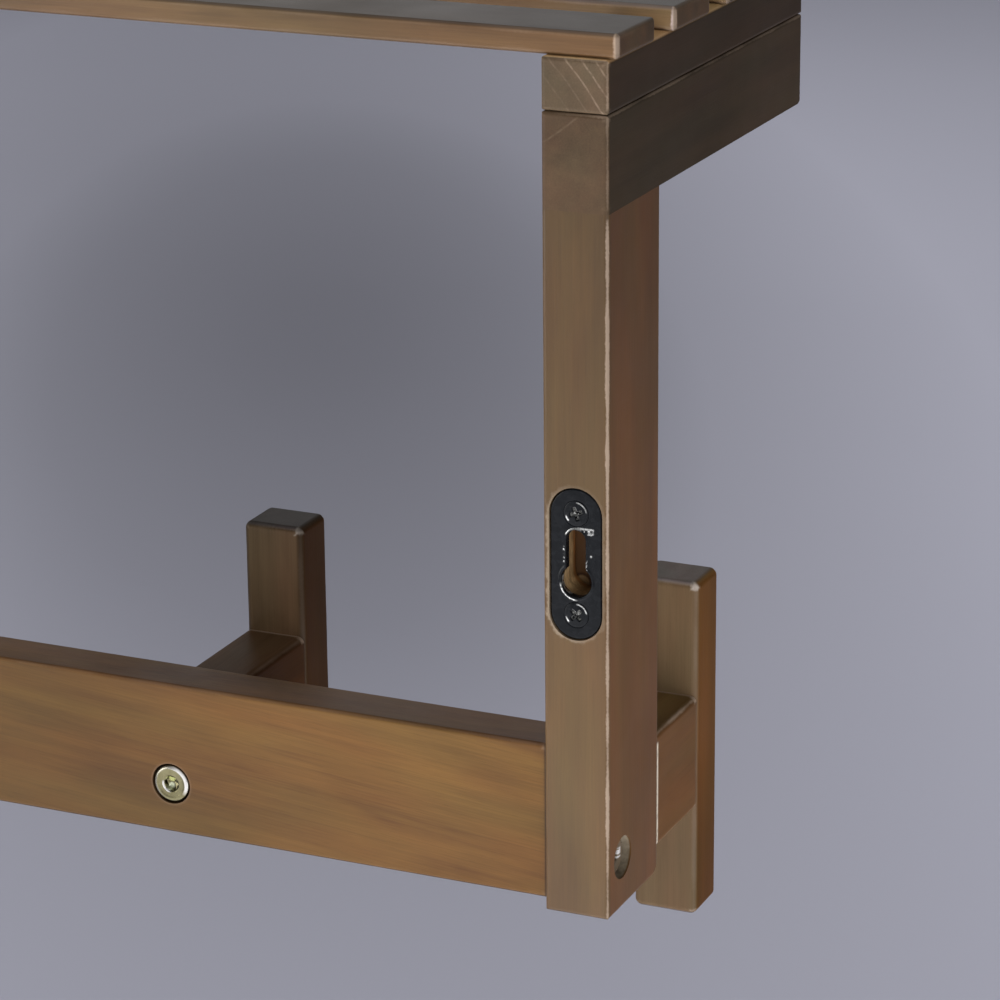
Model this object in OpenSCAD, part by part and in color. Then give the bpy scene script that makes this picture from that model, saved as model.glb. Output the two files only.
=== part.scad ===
// Wall shelf with hooks. Two end frames carry a slatted shelf, and a rail between the posts
// carries the hooks. The backs of the posts lie on the wall at Y = 0, the front faces -Y and
// +Z is up. The origin is on the wall, midway between the round entries of the hanger plates.

/* [Overall] */
// Width over the outer faces of the two posts
body_w = 514; // [460:1:600]
// Depth of the shelf, from the wall to its front end
shelf_d = 143; // [135:0.5:170]

/* [Posts] */
// Width of a post, and of the arm and bearer above it
post_w = 18.5; // [17:0.5:22]
// Depth of a post
post_d = 35.5; // [32:0.5:42]
// Height of a post
post_h = 194.5; // [170:0.5:240]
// Radius of the front lower corner of a post
post_toe_r = 6; // [2:0.5:10]

/* [Arms and bearers] */
// Height of the arm that lies on a post
arm_h = 25.5; // [22:0.5:32]
// Radius of the front lower corner of an arm
arm_toe_r = 3; // [1.5:0.5:8]
// Height of the bearer between an arm and the slats
bearer_h = 14; // [12:0.5:20]

/* [Slats] */
// Width of a slat
slat_w = 25; // [20:0.5:30]
// Thickness of a slat
slat_t = 6.5; // [6:0.5:10]
// Overhang of the slats past the outer faces of the posts
slat_over = 2; // [1:0.5:10]
// Distance from the wall to the rear slat
slat_setback = 1.5; // [0.5:0.5:6]

/* [Rail] */
// Height of the rail
rail_h = 44.8; // [40:0.1:60]
// Thickness of the rail
rail_t = 16; // [14:0.5:20]
// Distance from the wall to the back of the rail
rail_recess = 2; // [1:0.5:5]
// Height of the rail's lower edge above the foot of the posts
rail_lift = 2.6; // [1:0.1:10]

/* [Hooks] */
// Width of a hook
hook_w = 19; // [16:0.5:22]
// Height of a hook's block
block_h = 100.7; // [85:0.1:120]
// Thickness of a hook's block
block_t = 16.5; // [13:0.5:20]
// Distance that a block hangs below the foot of the posts
block_drop = 27; // [15:0.5:35]
// Distance from the wall to the back of a block
hook_reach = 67; // [60:1:90]
// Height of the neck that carries a block
neck_h = 34.1; // [30:0.1:38]
// Height of a neck's lower edge above the foot of the posts
neck_lift = 6.2; // [3:0.1:10]
// Distance from a post's outer face to the middle of the hook on that post
end_hook_inset = 10.5; // [9.5:0.5:12]

/* [Eased edges] */
// Radius along the edges of the posts, arms, bearers and rail
edge_r = 1.2; // [0.5:0.1:2]
// Radius along the edges of the slats
slat_r = 1.5; // [0.5:0.1:2.5]
// Radius along the edges of the hook blocks
block_r = 2.3; // [1:0.1:4]
// Radius along the edges of the hook necks
neck_r = 2; // [0.5:0.1:3]

/* [Hanger plates] */
// Length of a hanger plate
plate_l = 41.5; // [40:0.5:48]
// Width of a hanger plate
plate_w = 14.5; // [14:0.1:15]
// Thickness of a hanger plate
plate_t = 2; // [1.5:0.1:3]
// Depth of the plate's face below the back of the post
plate_sink = 0.3; // [0.1:0.1:1]
// Height of the middle of a plate above the foot of the posts
plate_z = 100; // [80:0.5:130]
// Diameter of the round entry for a screw head
entry_d = 8.6; // [8:0.1:9]
// Width of the slot that holds the screw's neck
slot_w = 5.4; // [4.5:0.1:5.6]
// Distance from the entry's middle up to the middle of the slot's end
slot_rise = 11.4; // [9:0.1:12]
// Depth of the pocket for the screw head behind a plate
pocket_deep = 9; // [7:0.5:12]
// Distance between the two screws of a plate
plate_screw_gap = 28; // [27.5:0.5:30]
// Head diameter of a plate screw
plate_screw_head_d = 7; // [6:0.1:7.4]
// Shank diameter of a plate screw
plate_screw_d = 3.4; // [3:0.1:4]
// Length of a plate screw
plate_screw_l = 16; // [12:0.5:22]

/* [Bolts] */
// Thread diameter of the bolts
bolt_d = 6; // [5:0.5:6]
// Head diameter of the bolts
bolt_head_d = 10.5; // [9.5:0.1:11]
// Head height of the bolts
bolt_head_h = 2.8; // [2.4:0.1:3.2]
// Size of the hex socket across its flats
hex_size = 4; // [3:0.5:5]
// Diameter of the counterbores for the bolt heads
counterbore_d = 12; // [11.6:0.1:13]
// Depth of a bolt head below the outer face of a post
post_bolt_sink = 2; // [1:0.1:4]
// Depth of a bolt head below the back of the rail
rail_bolt_sink = 0.3; // [0.2:0.1:2]
// Outer diameter of the threaded inserts
insert_d = 9; // [8:0.5:9.5]
// Length of the threaded inserts
insert_l = 15; // [12:0.5:16]

/* [Dowels and screws] */
// Diameter of the dowels in the posts
dowel_d = 8; // [6:0.5:8]
// Length of the dowels in the posts
dowel_l = 30; // [24:1:32]
// Diameter of the dowels in the rail and the blocks
hook_dowel_d = 6; // [5:0.5:7]
// Length of the dowels between the rail and the hooks
hook_dowel_l = 20; // [18:0.5:22]
// Shank diameter of the screws that hold a bearer on its arm
arm_screw_d = 4; // [3.5:0.1:4.5]
// Head diameter of the screws that hold a bearer on its arm
arm_screw_head_d = 8; // [7:0.1:9]
// Depth of those screws' heads inside the arm
arm_screw_sink = 8; // [4:0.5:12]
// Shank diameter of the screws that hold the slats
slat_screw_d = 3; // [2.5:0.1:3.5]
// Head diameter of the screws that hold the slats
slat_screw_head_d = 6; // [5:0.1:7]

/* [Hidden] */
// Facets of a full circle
$fn = 64;
// Number of slats, and of hooks from post to post
slat_count = 4;
hook_count = 5;

// Gap around a piece that sits in a hole
fit = 0.1;
// Gap around a bolt that passes through wood
bolt_play = 0.4;
// Gap around a hanger plate in its recess
plate_play = 0.3;
// Overrun of the cuts
cut = 1;
// Bevel on the rim of a bolt head
bolt_bevel = 0.5;
// Wall left under a hex socket and a cross recess
socket_floor = 0.8;
// Depth and slot width of the cross recess in a screw head, and its span across the head
cross_deep = 1.2;
cross_w = 0.9;
cross_span_share = 0.62;
// Distance from the middle of a hanger plate down to the middle of its entry
entry_drop = 4.7;

// Where bolts and dowels sit up the height of the rail or neck that they hold
rail_bolt_share = 0.27;
neck_bolt_share = 0.33;
dowel_height_share = 0.72;
// Where each dowel of a pair sits along the face that it joins
pair_shares = [0.26, 0.74];
// Part of a post's width, and of a block's thickness, that a dowel runs into
dowel_in_post_share = 0.66;
dowel_in_block_share = 0.6;
// Parts of the shortest neck that the dowels from the post and from the block run into
dowel_in_neck_shares = [0.47, 0.34];
// Part of the last piece's thickness that a screw runs into, and of an insert that a bolt does
screw_in_wood_share = 0.75;
bolt_in_insert_share = 0.85;

// Heights are counted from the foot of the posts, and foot_z puts the origin at the entries
foot_z = -(plate_z - entry_drop);
shelf_z = post_h + arm_h;
slat_z = shelf_z + bearer_h;
rail_out = rail_recess + rail_t / 2;
rail_front = rail_recess + rail_t;
rail_w = body_w - 2 * post_w;
post_x = -(body_w - post_w) / 2;
joint_x = -rail_w / 2;
slat_gap = (shelf_d - slat_setback - slat_count * slat_w) / (slat_count - 1);
hook_pitch = (body_w - 2 * end_hook_inset) / (hook_count - 1);
rail_bolt_z = rail_lift + rail_h * rail_bolt_share;
rail_dowel_z = rail_lift + rail_h * dowel_height_share;
neck_bolt_z = neck_lift + neck_h * neck_bolt_share;
neck_dowel_z = neck_lift + neck_h * dowel_height_share;
hex_deep = bolt_head_h - socket_floor;
bolt_in_insert = insert_l * bolt_in_insert_share;
dowel_in_post = post_w * dowel_in_post_share;
dowel_in_block = block_t * dowel_in_block_share;
short_neck_l = hook_reach - post_d;
post_dowel_in_neck = short_neck_l * dowel_in_neck_shares[0];
block_dowel_in_neck = short_neck_l * dowel_in_neck_shares[1];
arm_screw_l = arm_h - arm_screw_sink + bearer_h * screw_in_wood_share;
slat_screw_l = bearer_h + slat_t * screw_in_wood_share;

function hook_x(i) = -body_w / 2 + end_hook_inset + (i - 1) * hook_pitch;
function on_post(i) = i == 1 || i == hook_count;
function neck_back(i) = on_post(i) ? post_d : rail_front;
function slat_out(i) = slat_setback + (i - 1) * (slat_w + slat_gap);
function names(stem, count) = [for (i = [1 : count]) str(stem, i)];

wood_side = [0.30, 0.20, 0.13];
wood_rail = [0.52, 0.36, 0.21];
wood_top = [0.40, 0.34, 0.29];
wood_hook = [0.36, 0.27, 0.19];
beech = [0.80, 0.66, 0.46];
black_steel = [0.08, 0.08, 0.10];
zinc = [0.72, 0.70, 0.62];
brass = [0.75, 0.60, 0.30];

// A point across the part, out from the wall and up from the foot of the posts
module place(x, out, up) {
  translate([x, -out, foot_z + up]) children();
}

// As place, with the child's +Z turned to run across, towards +X
module across(x, out, up) {
  place(x, out, up) rotate([0, 90, 0]) children();
}

// As place, with the child's +Z turned to run forwards, and its +Y up
module forwards(x, out, up) {
  place(x, out, up) rotate([90, 0, 0]) children();
}

// The left side as drawn, or its mirror image on the right
module side(right) {
  mirror([right ? 1 : 0, 0, 0]) children();
}

module both_sides() {
  side(false) children();
  side(true) children();
}

// A rectangle from the origin with rounded corners, or square ones along its foot or its top
module eased_rect(a, b, r, foot = true, top = true) {
  foot_r = foot ? r : 0;
  top_r = top ? r : 0;
  translate([r, 0]) square([a - 2 * r, b]);
  translate([0, foot_r]) square([a, b - foot_r - top_r]);
  for (u = [r, a - r], v = [r, b - r])
    translate([u, v]) circle(r);
}

// The same rectangle with a larger radius at the origin's corner
module toed_rect(a, b, r, toe, foot, top) {
  difference() {
    eased_rect(a, b, r, foot, top);
    difference() {
      translate([-cut, -cut]) square([toe + cut, toe + cut]);
      translate([toe, toe]) circle(toe);
    }
  }
}

// A bar from the wall forwards and from its foot up, eased but where its foot or top is a joint
module eased_bar(w, d, h, r, toe, foot = true, top = true) {
  intersection() {
    translate([-w / 2, -d, 0]) linear_extrude(h) eased_rect(w, d, r);
    translate([-w / 2, 0, 0]) rotate([90, 0, 0]) linear_extrude(d) eased_rect(w, h, r, foot, top);
    translate([-w / 2, -d, 0]) rotate([90, 0, 90])
      linear_extrude(w) toed_rect(d, h, r, toe, foot, top);
  }
}

// A straight peg through a joint, back from the joint and on past it
module peg(d, back, on, gap = 0) {
  translate([0, 0, -back - gap]) cylinder(d = d + 2 * gap, h = back + on + 2 * gap);
}

// A socket bolt, from the top of its head along +Z
module bolt(shank_l) {
  difference() {
    union() {
      cylinder(d1 = bolt_head_d - 2 * bolt_bevel, d2 = bolt_head_d, h = bolt_bevel);
      translate([0, 0, bolt_bevel]) cylinder(d = bolt_head_d, h = bolt_head_h - bolt_bevel);
      translate([0, 0, bolt_bevel]) cylinder(d = bolt_d, h = bolt_head_h - bolt_bevel + shank_l);
    }
    translate([0, 0, -cut]) cylinder(d = hex_size / cos(30), h = hex_deep + cut, $fn = 6);
  }
}

// The hole for a bolt whose head lies sink below the face, from that face along +Z
module bolt_hole(sink, through) {
  translate([0, 0, -cut]) cylinder(d = counterbore_d, h = sink + bolt_head_h + cut);
  cylinder(d = bolt_d + 2 * bolt_play, h = through + cut);
}

module insert() {
  difference() {
    cylinder(d = insert_d, h = insert_l);
    translate([0, 0, -cut]) cylinder(d = bolt_d + 2 * fit, h = insert_l + 2 * cut);
  }
}

module insert_hole() {
  translate([0, 0, -cut]) cylinder(d = insert_d + 2 * fit, h = insert_l + fit + cut);
}

// A countersunk screw, from the top of its head along +Z, in a hole that is gap wider
module screw(head_d, d, l, gap = 0) {
  cone_h = (head_d - d) / 2;
  difference() {
    union() {
      cylinder(d1 = head_d + 2 * gap, d2 = d + 2 * gap, h = cone_h);
      translate([0, 0, cone_h / 2]) cylinder(d = d + 2 * gap, h = l + gap - cone_h / 2);
    }
    if (gap == 0) cross(head_d);
  }
}

// The hole through an arm for a screw whose head lies deep inside it
module arm_screw_hole() {
  screw(arm_screw_head_d, arm_screw_d, arm_screw_l, fit);
  translate([0, 0, -arm_screw_sink - cut])
    cylinder(d = arm_screw_head_d + 2 * fit, h = arm_screw_sink + cut);
}

module cross(head_d) {
  for (turn = [0, 90])
    rotate(turn) translate([-head_d * cross_span_share / 2, -cross_w / 2, -cut])
      cube([head_d * cross_span_share, cross_w, cross_deep + cut]);
}

// The places of the fasteners on the left side, each from the face or joint that it crosses
module at_plate(depth) {
  forwards(post_x, depth, plate_z) children();
}

module at_plate_screws() {
  for (s = [-1, 1])
    at_plate(plate_sink) translate([0, s * plate_screw_gap / 2, 0]) children();
}

module at_arm_dowels() {
  for (share = pair_shares)
    place(post_x, post_d * share, post_h) children();
}

module at_rail_bolt() {
  across(-body_w / 2, rail_out, rail_bolt_z) children();
}

module at_rail_dowel() {
  across(joint_x, rail_out, rail_dowel_z) children();
}

module at_rail_insert() {
  across(joint_x, rail_out, rail_bolt_z) children();
}

module at_post_hook_dowels() {
  for (share = pair_shares)
    forwards(hook_x(1), post_d, neck_lift + neck_h * share) children();
}

module at_arm_screws() {
  for (i = [2 : slat_count - 1])
    place(post_x, slat_out(i + 1) - slat_gap / 2, post_h + arm_screw_sink) children();
}

module at_slat_screws() {
  for (i = [1 : slat_count])
    place(post_x, slat_out(i) + slat_w / 2, shelf_z) children();
}

module at_block_dowels(i) {
  for (share = pair_shares)
    forwards(hook_x(i), hook_reach, neck_lift + neck_h * share) children();
}

// The pegs of each joint, as pieces or, with a gap, as the holes that take them
module arm_peg(gap = 0) {
  peg(dowel_d, dowel_l / 2, dowel_l / 2, gap);
}

module rail_peg(gap = 0) {
  peg(dowel_d, dowel_in_post, dowel_l - dowel_in_post, gap);
}

module post_hook_peg(gap = 0) {
  peg(dowel_d, dowel_l / 2, post_dowel_in_neck, gap);
}

module hook_peg(gap = 0) {
  peg(hook_dowel_d, hook_dowel_l / 2, hook_dowel_l / 2, gap);
}

module block_peg(gap = 0) {
  peg(hook_dowel_d, block_dowel_in_neck, dowel_in_block, gap);
}

module oblong(w, l) {
  square([w, l - w], center = true);
  for (s = [-1, 1])
    translate([0, s * (l - w) / 2]) circle(d = w);
}

module keyhole() {
  translate([0, -entry_drop]) circle(d = entry_d);
  translate([-slot_w / 2, -entry_drop]) square([slot_w, slot_rise]);
  translate([0, slot_rise - entry_drop]) circle(d = slot_w);
}

// The recess for a hanger plate and the pocket for the screw head behind it
module plate_cut() {
  pocket_l = slot_rise + entry_d + 2 * plate_play;
  recess = plate_sink + plate_t;
  at_plate(-cut)
    linear_extrude(cut + recess) oblong(plate_w + 2 * plate_play, plate_l + 2 * plate_play);
  at_plate(0) translate([0, slot_rise / 2 - entry_drop, 0])
    linear_extrude(recess + pocket_deep) oblong(entry_d + 2 * plate_play, pocket_l);
}

module post_left_body() {
  color(wood_side) difference() {
    place(post_x, 0, 0) eased_bar(post_w, post_d, post_h, edge_r, post_toe_r, top = false);
    plate_cut();
    at_plate_screws() screw(plate_screw_head_d, plate_screw_d, plate_screw_l, fit);
    at_arm_dowels() arm_peg(fit);
    at_rail_bolt() bolt_hole(post_bolt_sink, post_w);
    at_rail_dowel() rail_peg(fit);
    at_post_hook_dowels() post_hook_peg(fit);
  }
}

module arm_left_body() {
  color(wood_side) difference() {
    place(post_x, 0, post_h) eased_bar(post_w, shelf_d, arm_h, edge_r, arm_toe_r, foot = false);
    at_arm_dowels() arm_peg(fit);
    at_arm_screws() arm_screw_hole();
  }
}

module bearer_left_body() {
  color(wood_side) difference() {
    place(post_x, 0, shelf_z) eased_bar(post_w, shelf_d, bearer_h, edge_r, edge_r);
    at_arm_screws() screw(arm_screw_head_d, arm_screw_d, arm_screw_l, fit);
    at_slat_screws() screw(slat_screw_head_d, slat_screw_d, slat_screw_l, fit);
  }
}

module hanger_plate_left_body() {
  color(black_steel) difference() {
    at_plate(plate_sink) linear_extrude(plate_t) oblong(plate_w, plate_l);
    at_plate(0) linear_extrude(plate_sink + plate_t + cut) keyhole();
    at_plate_screws() screw(plate_screw_head_d, plate_screw_d, plate_screw_l, fit);
  }
}

module rail() {
  color(wood_rail) difference() {
    place(joint_x, rail_front, rail_lift) rotate([90, 0, 90])
      linear_extrude(rail_w) eased_rect(rail_t, rail_h, edge_r);
    both_sides() {
      at_rail_dowel() rail_peg(fit);
      at_rail_insert() insert_hole();
    }
    for (i = [2 : hook_count - 1]) {
      forwards(hook_x(i), rail_recess, neck_bolt_z) bolt_hole(rail_bolt_sink, rail_t);
      forwards(hook_x(i), rail_front, neck_dowel_z) hook_peg(fit);
    }
  }
}

module slat(i) {
  slat_l = body_w + 2 * slat_over;
  color(wood_top) difference() {
    place(0, slat_out(i), slat_z) eased_bar(slat_l, slat_w, slat_t, slat_r, slat_r);
    both_sides() at_slat_screws() screw(slat_screw_head_d, slat_screw_d, slat_screw_l, fit);
  }
}

module hook_block(i) {
  color(wood_hook) difference() {
    place(hook_x(i), hook_reach, -block_drop) eased_bar(hook_w, block_t, block_h, block_r, block_r);
    at_block_dowels(i) block_peg(fit);
  }
}

module hook_neck(i) {
  color(wood_hook) difference() {
    forwards(hook_x(i) - hook_w / 2, neck_back(i), neck_lift)
      linear_extrude(hook_reach - neck_back(i)) eased_rect(hook_w, neck_h, neck_r);
    at_block_dowels(i) block_peg(fit);
    if (on_post(i)) {
      both_sides() at_post_hook_dowels() post_hook_peg(fit);
    } else {
      forwards(hook_x(i), rail_front, neck_bolt_z) insert_hole();
      forwards(hook_x(i), rail_front, neck_dowel_z) hook_peg(fit);
    }
  }
}

module plate_screws() {
  color(black_steel) both_sides() at_plate_screws()
    screw(plate_screw_head_d, plate_screw_d, plate_screw_l);
}

module rail_bolts() {
  color(zinc) both_sides() at_rail_bolt() translate([0, 0, post_bolt_sink])
    bolt(post_w - post_bolt_sink - bolt_head_h + bolt_in_insert);
}

module rail_inserts() {
  color(brass) both_sides() at_rail_insert() insert();
}

module hook_bolts() {
  color(zinc) for (i = [2 : hook_count - 1])
    forwards(hook_x(i), rail_recess + rail_bolt_sink, neck_bolt_z)
      bolt(rail_t - rail_bolt_sink - bolt_head_h + bolt_in_insert);
}

module hook_inserts() {
  color(brass) for (i = [2 : hook_count - 1])
    forwards(hook_x(i), rail_front, neck_bolt_z) insert();
}

module arm_dowels() {
  color(beech) both_sides() at_arm_dowels() arm_peg();
}

module rail_dowels() {
  color(beech) both_sides() at_rail_dowel() rail_peg();
}

module hook_dowels() {
  color(beech) for (i = [2 : hook_count - 1])
    forwards(hook_x(i), rail_front, neck_dowel_z) hook_peg();
}

module post_hook_dowels() {
  color(beech) both_sides() at_post_hook_dowels() post_hook_peg();
}

module block_dowels() {
  color(beech) for (i = [1 : hook_count])
    at_block_dowels(i) block_peg();
}

module arm_screws() {
  color(zinc) both_sides() at_arm_screws()
    screw(arm_screw_head_d, arm_screw_d, arm_screw_l);
}

module slat_screws() {
  color(zinc) both_sides() at_slat_screws()
    screw(slat_screw_head_d, slat_screw_d, slat_screw_l);
}

side(false) post_left_body();  // post_left
side(true) post_left_body();  // post_right
side(false) arm_left_body();  // arm_left
side(true) arm_left_body();  // arm_right
side(false) bearer_left_body();  // bearer_left
side(true) bearer_left_body();  // bearer_right
rail();
for (i = [1 : slat_count])
  slat(i);
for (i = [1 : hook_count])
  hook_block(i);
for (i = [1 : hook_count])
  hook_neck(i);
side(false) hanger_plate_left_body();  // hanger_plate_left
side(true) hanger_plate_left_body();  // hanger_plate_right
plate_screws();
rail_bolts();
rail_inserts();
hook_bolts();
hook_inserts();
arm_dowels();
rail_dowels();
hook_dowels();
post_hook_dowels();
block_dowels();
arm_screws();
slat_screws();
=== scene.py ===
"""Looks of the wall shelf with hooks: its woods, its fasteners, its keyhole plates and its stage.

Lengths are in metres where Blender reads them. Inside the materials and in the profiles of the turned
pieces and plates they are in millimetres. X runs along the wall, Y points into it, Z points up.
"""
import functools
import math

import bmesh
import bpy
import numpy as np
from bpy.props import FloatProperty, FloatVectorProperty, IntProperty, PointerProperty
from mathutils import Matrix, Vector


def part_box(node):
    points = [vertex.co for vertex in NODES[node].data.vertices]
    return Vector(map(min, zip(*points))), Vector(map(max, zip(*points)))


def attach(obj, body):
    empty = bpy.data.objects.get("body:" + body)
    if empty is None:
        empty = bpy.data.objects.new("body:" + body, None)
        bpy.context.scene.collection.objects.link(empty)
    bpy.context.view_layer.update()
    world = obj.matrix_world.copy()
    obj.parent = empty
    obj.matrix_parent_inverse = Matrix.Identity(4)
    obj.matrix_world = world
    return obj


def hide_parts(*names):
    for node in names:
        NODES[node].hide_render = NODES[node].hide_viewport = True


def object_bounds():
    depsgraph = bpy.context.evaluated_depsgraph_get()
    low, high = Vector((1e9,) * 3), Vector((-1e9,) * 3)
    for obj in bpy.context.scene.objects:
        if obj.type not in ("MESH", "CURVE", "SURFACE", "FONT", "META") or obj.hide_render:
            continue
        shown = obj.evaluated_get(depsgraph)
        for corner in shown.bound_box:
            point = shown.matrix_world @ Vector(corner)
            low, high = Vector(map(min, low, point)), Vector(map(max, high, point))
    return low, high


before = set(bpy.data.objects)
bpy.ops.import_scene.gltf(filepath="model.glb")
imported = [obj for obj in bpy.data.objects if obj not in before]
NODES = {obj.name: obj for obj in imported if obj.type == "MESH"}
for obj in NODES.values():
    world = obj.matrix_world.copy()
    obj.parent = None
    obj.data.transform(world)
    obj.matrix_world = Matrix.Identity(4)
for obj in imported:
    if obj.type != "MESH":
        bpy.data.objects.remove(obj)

bl_info = {
    "name": "Wall shelf with hooks",
    "version": (1, 0, 0),
    "blender": (4, 5, 0),
    "location": "3D View > Sidebar > Wall Shelf",
    "description": "Builds the woods, slats, hooks, fasteners, keyhole plates and stage of a wall shelf",
    "category": "Object",
}

MM = 0.001
TURN = 2 * math.pi
CAD_LOW, CAD_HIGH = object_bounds()
BODY = "root"


# What the frame measures ----------------------------------------------------------------------

def span(*names):
    """The lowest and highest corners of some CAD nodes together."""
    lows, highs = zip(*(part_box(name) for name in names))
    low = Vector([min(corner[i] for corner in lows) for i in range(3)])
    high = Vector([max(corner[i] for corner in highs) for i in range(3)])
    return low, high


def middle(name):
    """The centre of a CAD node's box."""
    low, high = span(name)
    return (low + high) / 2


def extent(name):
    """The size of a CAD node's box."""
    low, high = span(name)
    return high - low


def in_mm(vector):
    """A length or a place of the frame, in millimetres."""
    return tuple(value / MM for value in vector)


SLAT_NAMES = [f"slat_{i}" for i in range(1, 5)]
BLOCK_NAMES = [f"hook_block_{i}" for i in range(1, 6)]
NECK_NAMES = [f"hook_neck_{i}" for i in range(1, 6)]
SLAT_SIZE = extent("slat_1")
SLAT_STEP = (middle("slat_4") - middle("slat_1")) / 3
BLOCK_SIZE = extent("hook_block_1")
HOOK_STEP = (middle("hook_block_5") - middle("hook_block_1")) / 4
PLATE_LEFT = middle("hanger_plate_left")
PLATE_FACE = span("hanger_plate_left")[1].y
PLATE_STEP = Vector((-2 * PLATE_LEFT.x, 0.0, 0.0))
PLATE_R = extent("hanger_plate_left").x / 2
PLATE_RUN = extent("hanger_plate_left").z / 2 - PLATE_R  # from a plate's middle to the centre of its end
PLATE_THICK = 2.0  # in millimetres
SLOT_RISE = 11.4 * MM  # from the keyhole's entry to the round top of its slot
ENTRY_R = 4.3 * MM
SLOT_R = 2.7 * MM
SCREW_GAP = 28.0 * MM  # between the two screws of a plate
SCREW_ZS = (PLATE_LEFT.z + SCREW_GAP / 2, PLATE_LEFT.z - SCREW_GAP / 2)
BORE_R = 6.0 * MM  # of the counterbores
BOLT_HEAD_H = 2.8  # in millimetres
BOLT_OUT = 0.5 * MM  # how much less deep than in the CAD the hook bolts sit
SHANK_MORE = 12.0  # a rail bolt's shank less the way from its head's top to its insert, in millimetres
DRILL_MARK = Vector((-244.9, -11.3, -4.2)) * MM  # the round mark on the floor of the left post's pocket


# Sizes and colours that a user would change ---------------------------------------------------

def length_property(name, description, default, low=0.0001, high=2.0):
    """A length in metres for the sidebar."""
    return FloatProperty(name=name, description=description, default=default, min=low, max=high,
                         unit="LENGTH", subtype="DISTANCE", precision=4)


def colour_property(name, description, default):
    """A linear colour for the sidebar."""
    return FloatVectorProperty(name=name, description=description, default=default, size=3,
                               min=0.0, max=1.0, subtype="COLOR")


class ShelfSlatSizes(bpy.types.PropertyGroup):
    """Sizes of the slats."""
    count: IntProperty(name="Slats", description="Number of slats", default=4, min=1, max=20)
    length: length_property("Length", "Length of a slat", SLAT_SIZE.x)
    width: length_property("Width", "Width of a slat", SLAT_SIZE.y)
    thickness: length_property("Thickness", "Thickness of a slat", SLAT_SIZE.z)
    corner: length_property("Corner radius", "Rounding of a slat's edges", 1.1 * MM)
    wear: length_property("Edge wear", "How far the sanding ate into the edges", 0.45 * MM, 0.0, 0.003)


class ShelfHookSizes(bpy.types.PropertyGroup):
    """Sizes of the hook blocks."""
    count: IntProperty(name="Hooks", description="Number of hooks", default=5, min=1, max=20)
    width: length_property("Width", "Width of a hook block", BLOCK_SIZE.x)
    depth: length_property("Depth", "Depth of a hook block", BLOCK_SIZE.y)
    height: length_property("Height", "Height of a hook block", BLOCK_SIZE.z)
    corner: length_property("Corner radius", "Rounding of a hook block's edges", 2.1 * MM)
    wear: length_property("Edge wear", "How far the sanding ate into the edges", 0.6 * MM, 0.0, 0.003)


class ShelfHardwareSizes(bpy.types.PropertyGroup):
    """Sizes of the bolts, screws and keyhole plates."""
    bolt_head: length_property("Bolt head", "Diameter of a bolt's head", 11.1 * MM)
    bolt_socket: length_property("Bolt socket", "Hexagon socket across its flats", 4.0 * MM)
    screw_head: length_property("Screw head", "Diameter of a plate screw's head", 7.0 * MM)
    screw_wing: FloatProperty(name="Cross width", description="Wing width as a share of the cross",
                              default=0.3, min=0.1, max=0.6)
    plate_collar: length_property("Plate collar", "Width of the collar round the keyhole", 1.05 * MM)
    plate_rim: length_property("Plate rim", "Rounding of a plate's outline", 0.45 * MM)


class ShelfWoodColours(bpy.types.PropertyGroup):
    """Stain tones of the woods."""
    post_dark: colour_property("Post, dark", "Dark grain of the posts", (0.071, 0.0345, 0.0095))
    post_light: colour_property("Post, light", "Light grain of the posts", (0.135, 0.072, 0.0215))
    arm_dark: colour_property("Arm, dark", "Dark grain of the arms", (0.0265, 0.0160, 0.0078))
    arm_light: colour_property("Arm, light", "Light grain of the arms", (0.053, 0.033, 0.0163))
    bearer_dark: colour_property("Bearer, dark", "Dark grain of the bearers", (0.0205, 0.0124, 0.0062))
    bearer_light: colour_property("Bearer, light", "Light grain of the bearers", (0.042, 0.0253, 0.0128))
    rail_dark: colour_property("Rail, dark", "Dark grain of the rail", (0.078, 0.034, 0.008))
    rail_light: colour_property("Rail, light", "Light grain of the rail", (0.165, 0.080, 0.018))
    slat_dark: colour_property("Slat, dark", "Dark grain of the slats", (0.064, 0.033, 0.012))
    slat_light: colour_property("Slat, light", "Light grain of the slats", (0.165, 0.089, 0.034))
    hook_dark: colour_property("Hook, dark", "Dark grain of the hooks", (0.070, 0.038, 0.016))
    hook_light: colour_property("Hook, light", "Light grain of the hooks", (0.162, 0.094, 0.046))
    worn: colour_property("Worn edge", "Wood where the stain is rubbed off", (0.360, 0.262, 0.187))
    bare: colour_property("Bare wood", "Unstained wood in the drilled holes", (0.740, 0.540, 0.290))


class ShelfStageLook(bpy.types.PropertyGroup):
    """Camera, floor and lights."""
    lens: FloatProperty(name="Lens", description="Focal length in millimetres", default=135.85,
                        min=10, max=500)
    floor_drop: length_property("Floor drop", "Height of the hung shelf's foot over the floor", 0.62,
                                0.1, 3.0)
    floor_tone: colour_property("Floor", "Paint of the floor", (0.620, 0.620, 0.730))
    lights: FloatProperty(name="Lights", description="Strength of all lights together", default=1.0,
                          min=0.0, max=10.0)
    air: FloatProperty(name="Air", description="Strength of the light from all round", default=0.2,
                       min=0.0, max=5.0)


class ShelfLook(bpy.types.PropertyGroup):
    """Everything that the sidebar shows."""
    slats: PointerProperty(type=ShelfSlatSizes)
    hooks: PointerProperty(type=ShelfHookSizes)
    hardware: PointerProperty(type=ShelfHardwareSizes)
    woods: PointerProperty(type=ShelfWoodColours)
    stage: PointerProperty(type=ShelfStageLook)


def stains():
    """The stain tones chosen in the sidebar."""
    return bpy.context.scene.wall_shelf.woods


# Building node trees --------------------------------------------------------------------------

def is_vector(value):
    """Whether a part of a sum has three components: a tuple, a vector, or a vector or colour output."""
    if isinstance(value, Value):
        return value.socket.type in ("VECTOR", "RGBA")
    return hasattr(value, "__len__")


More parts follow.
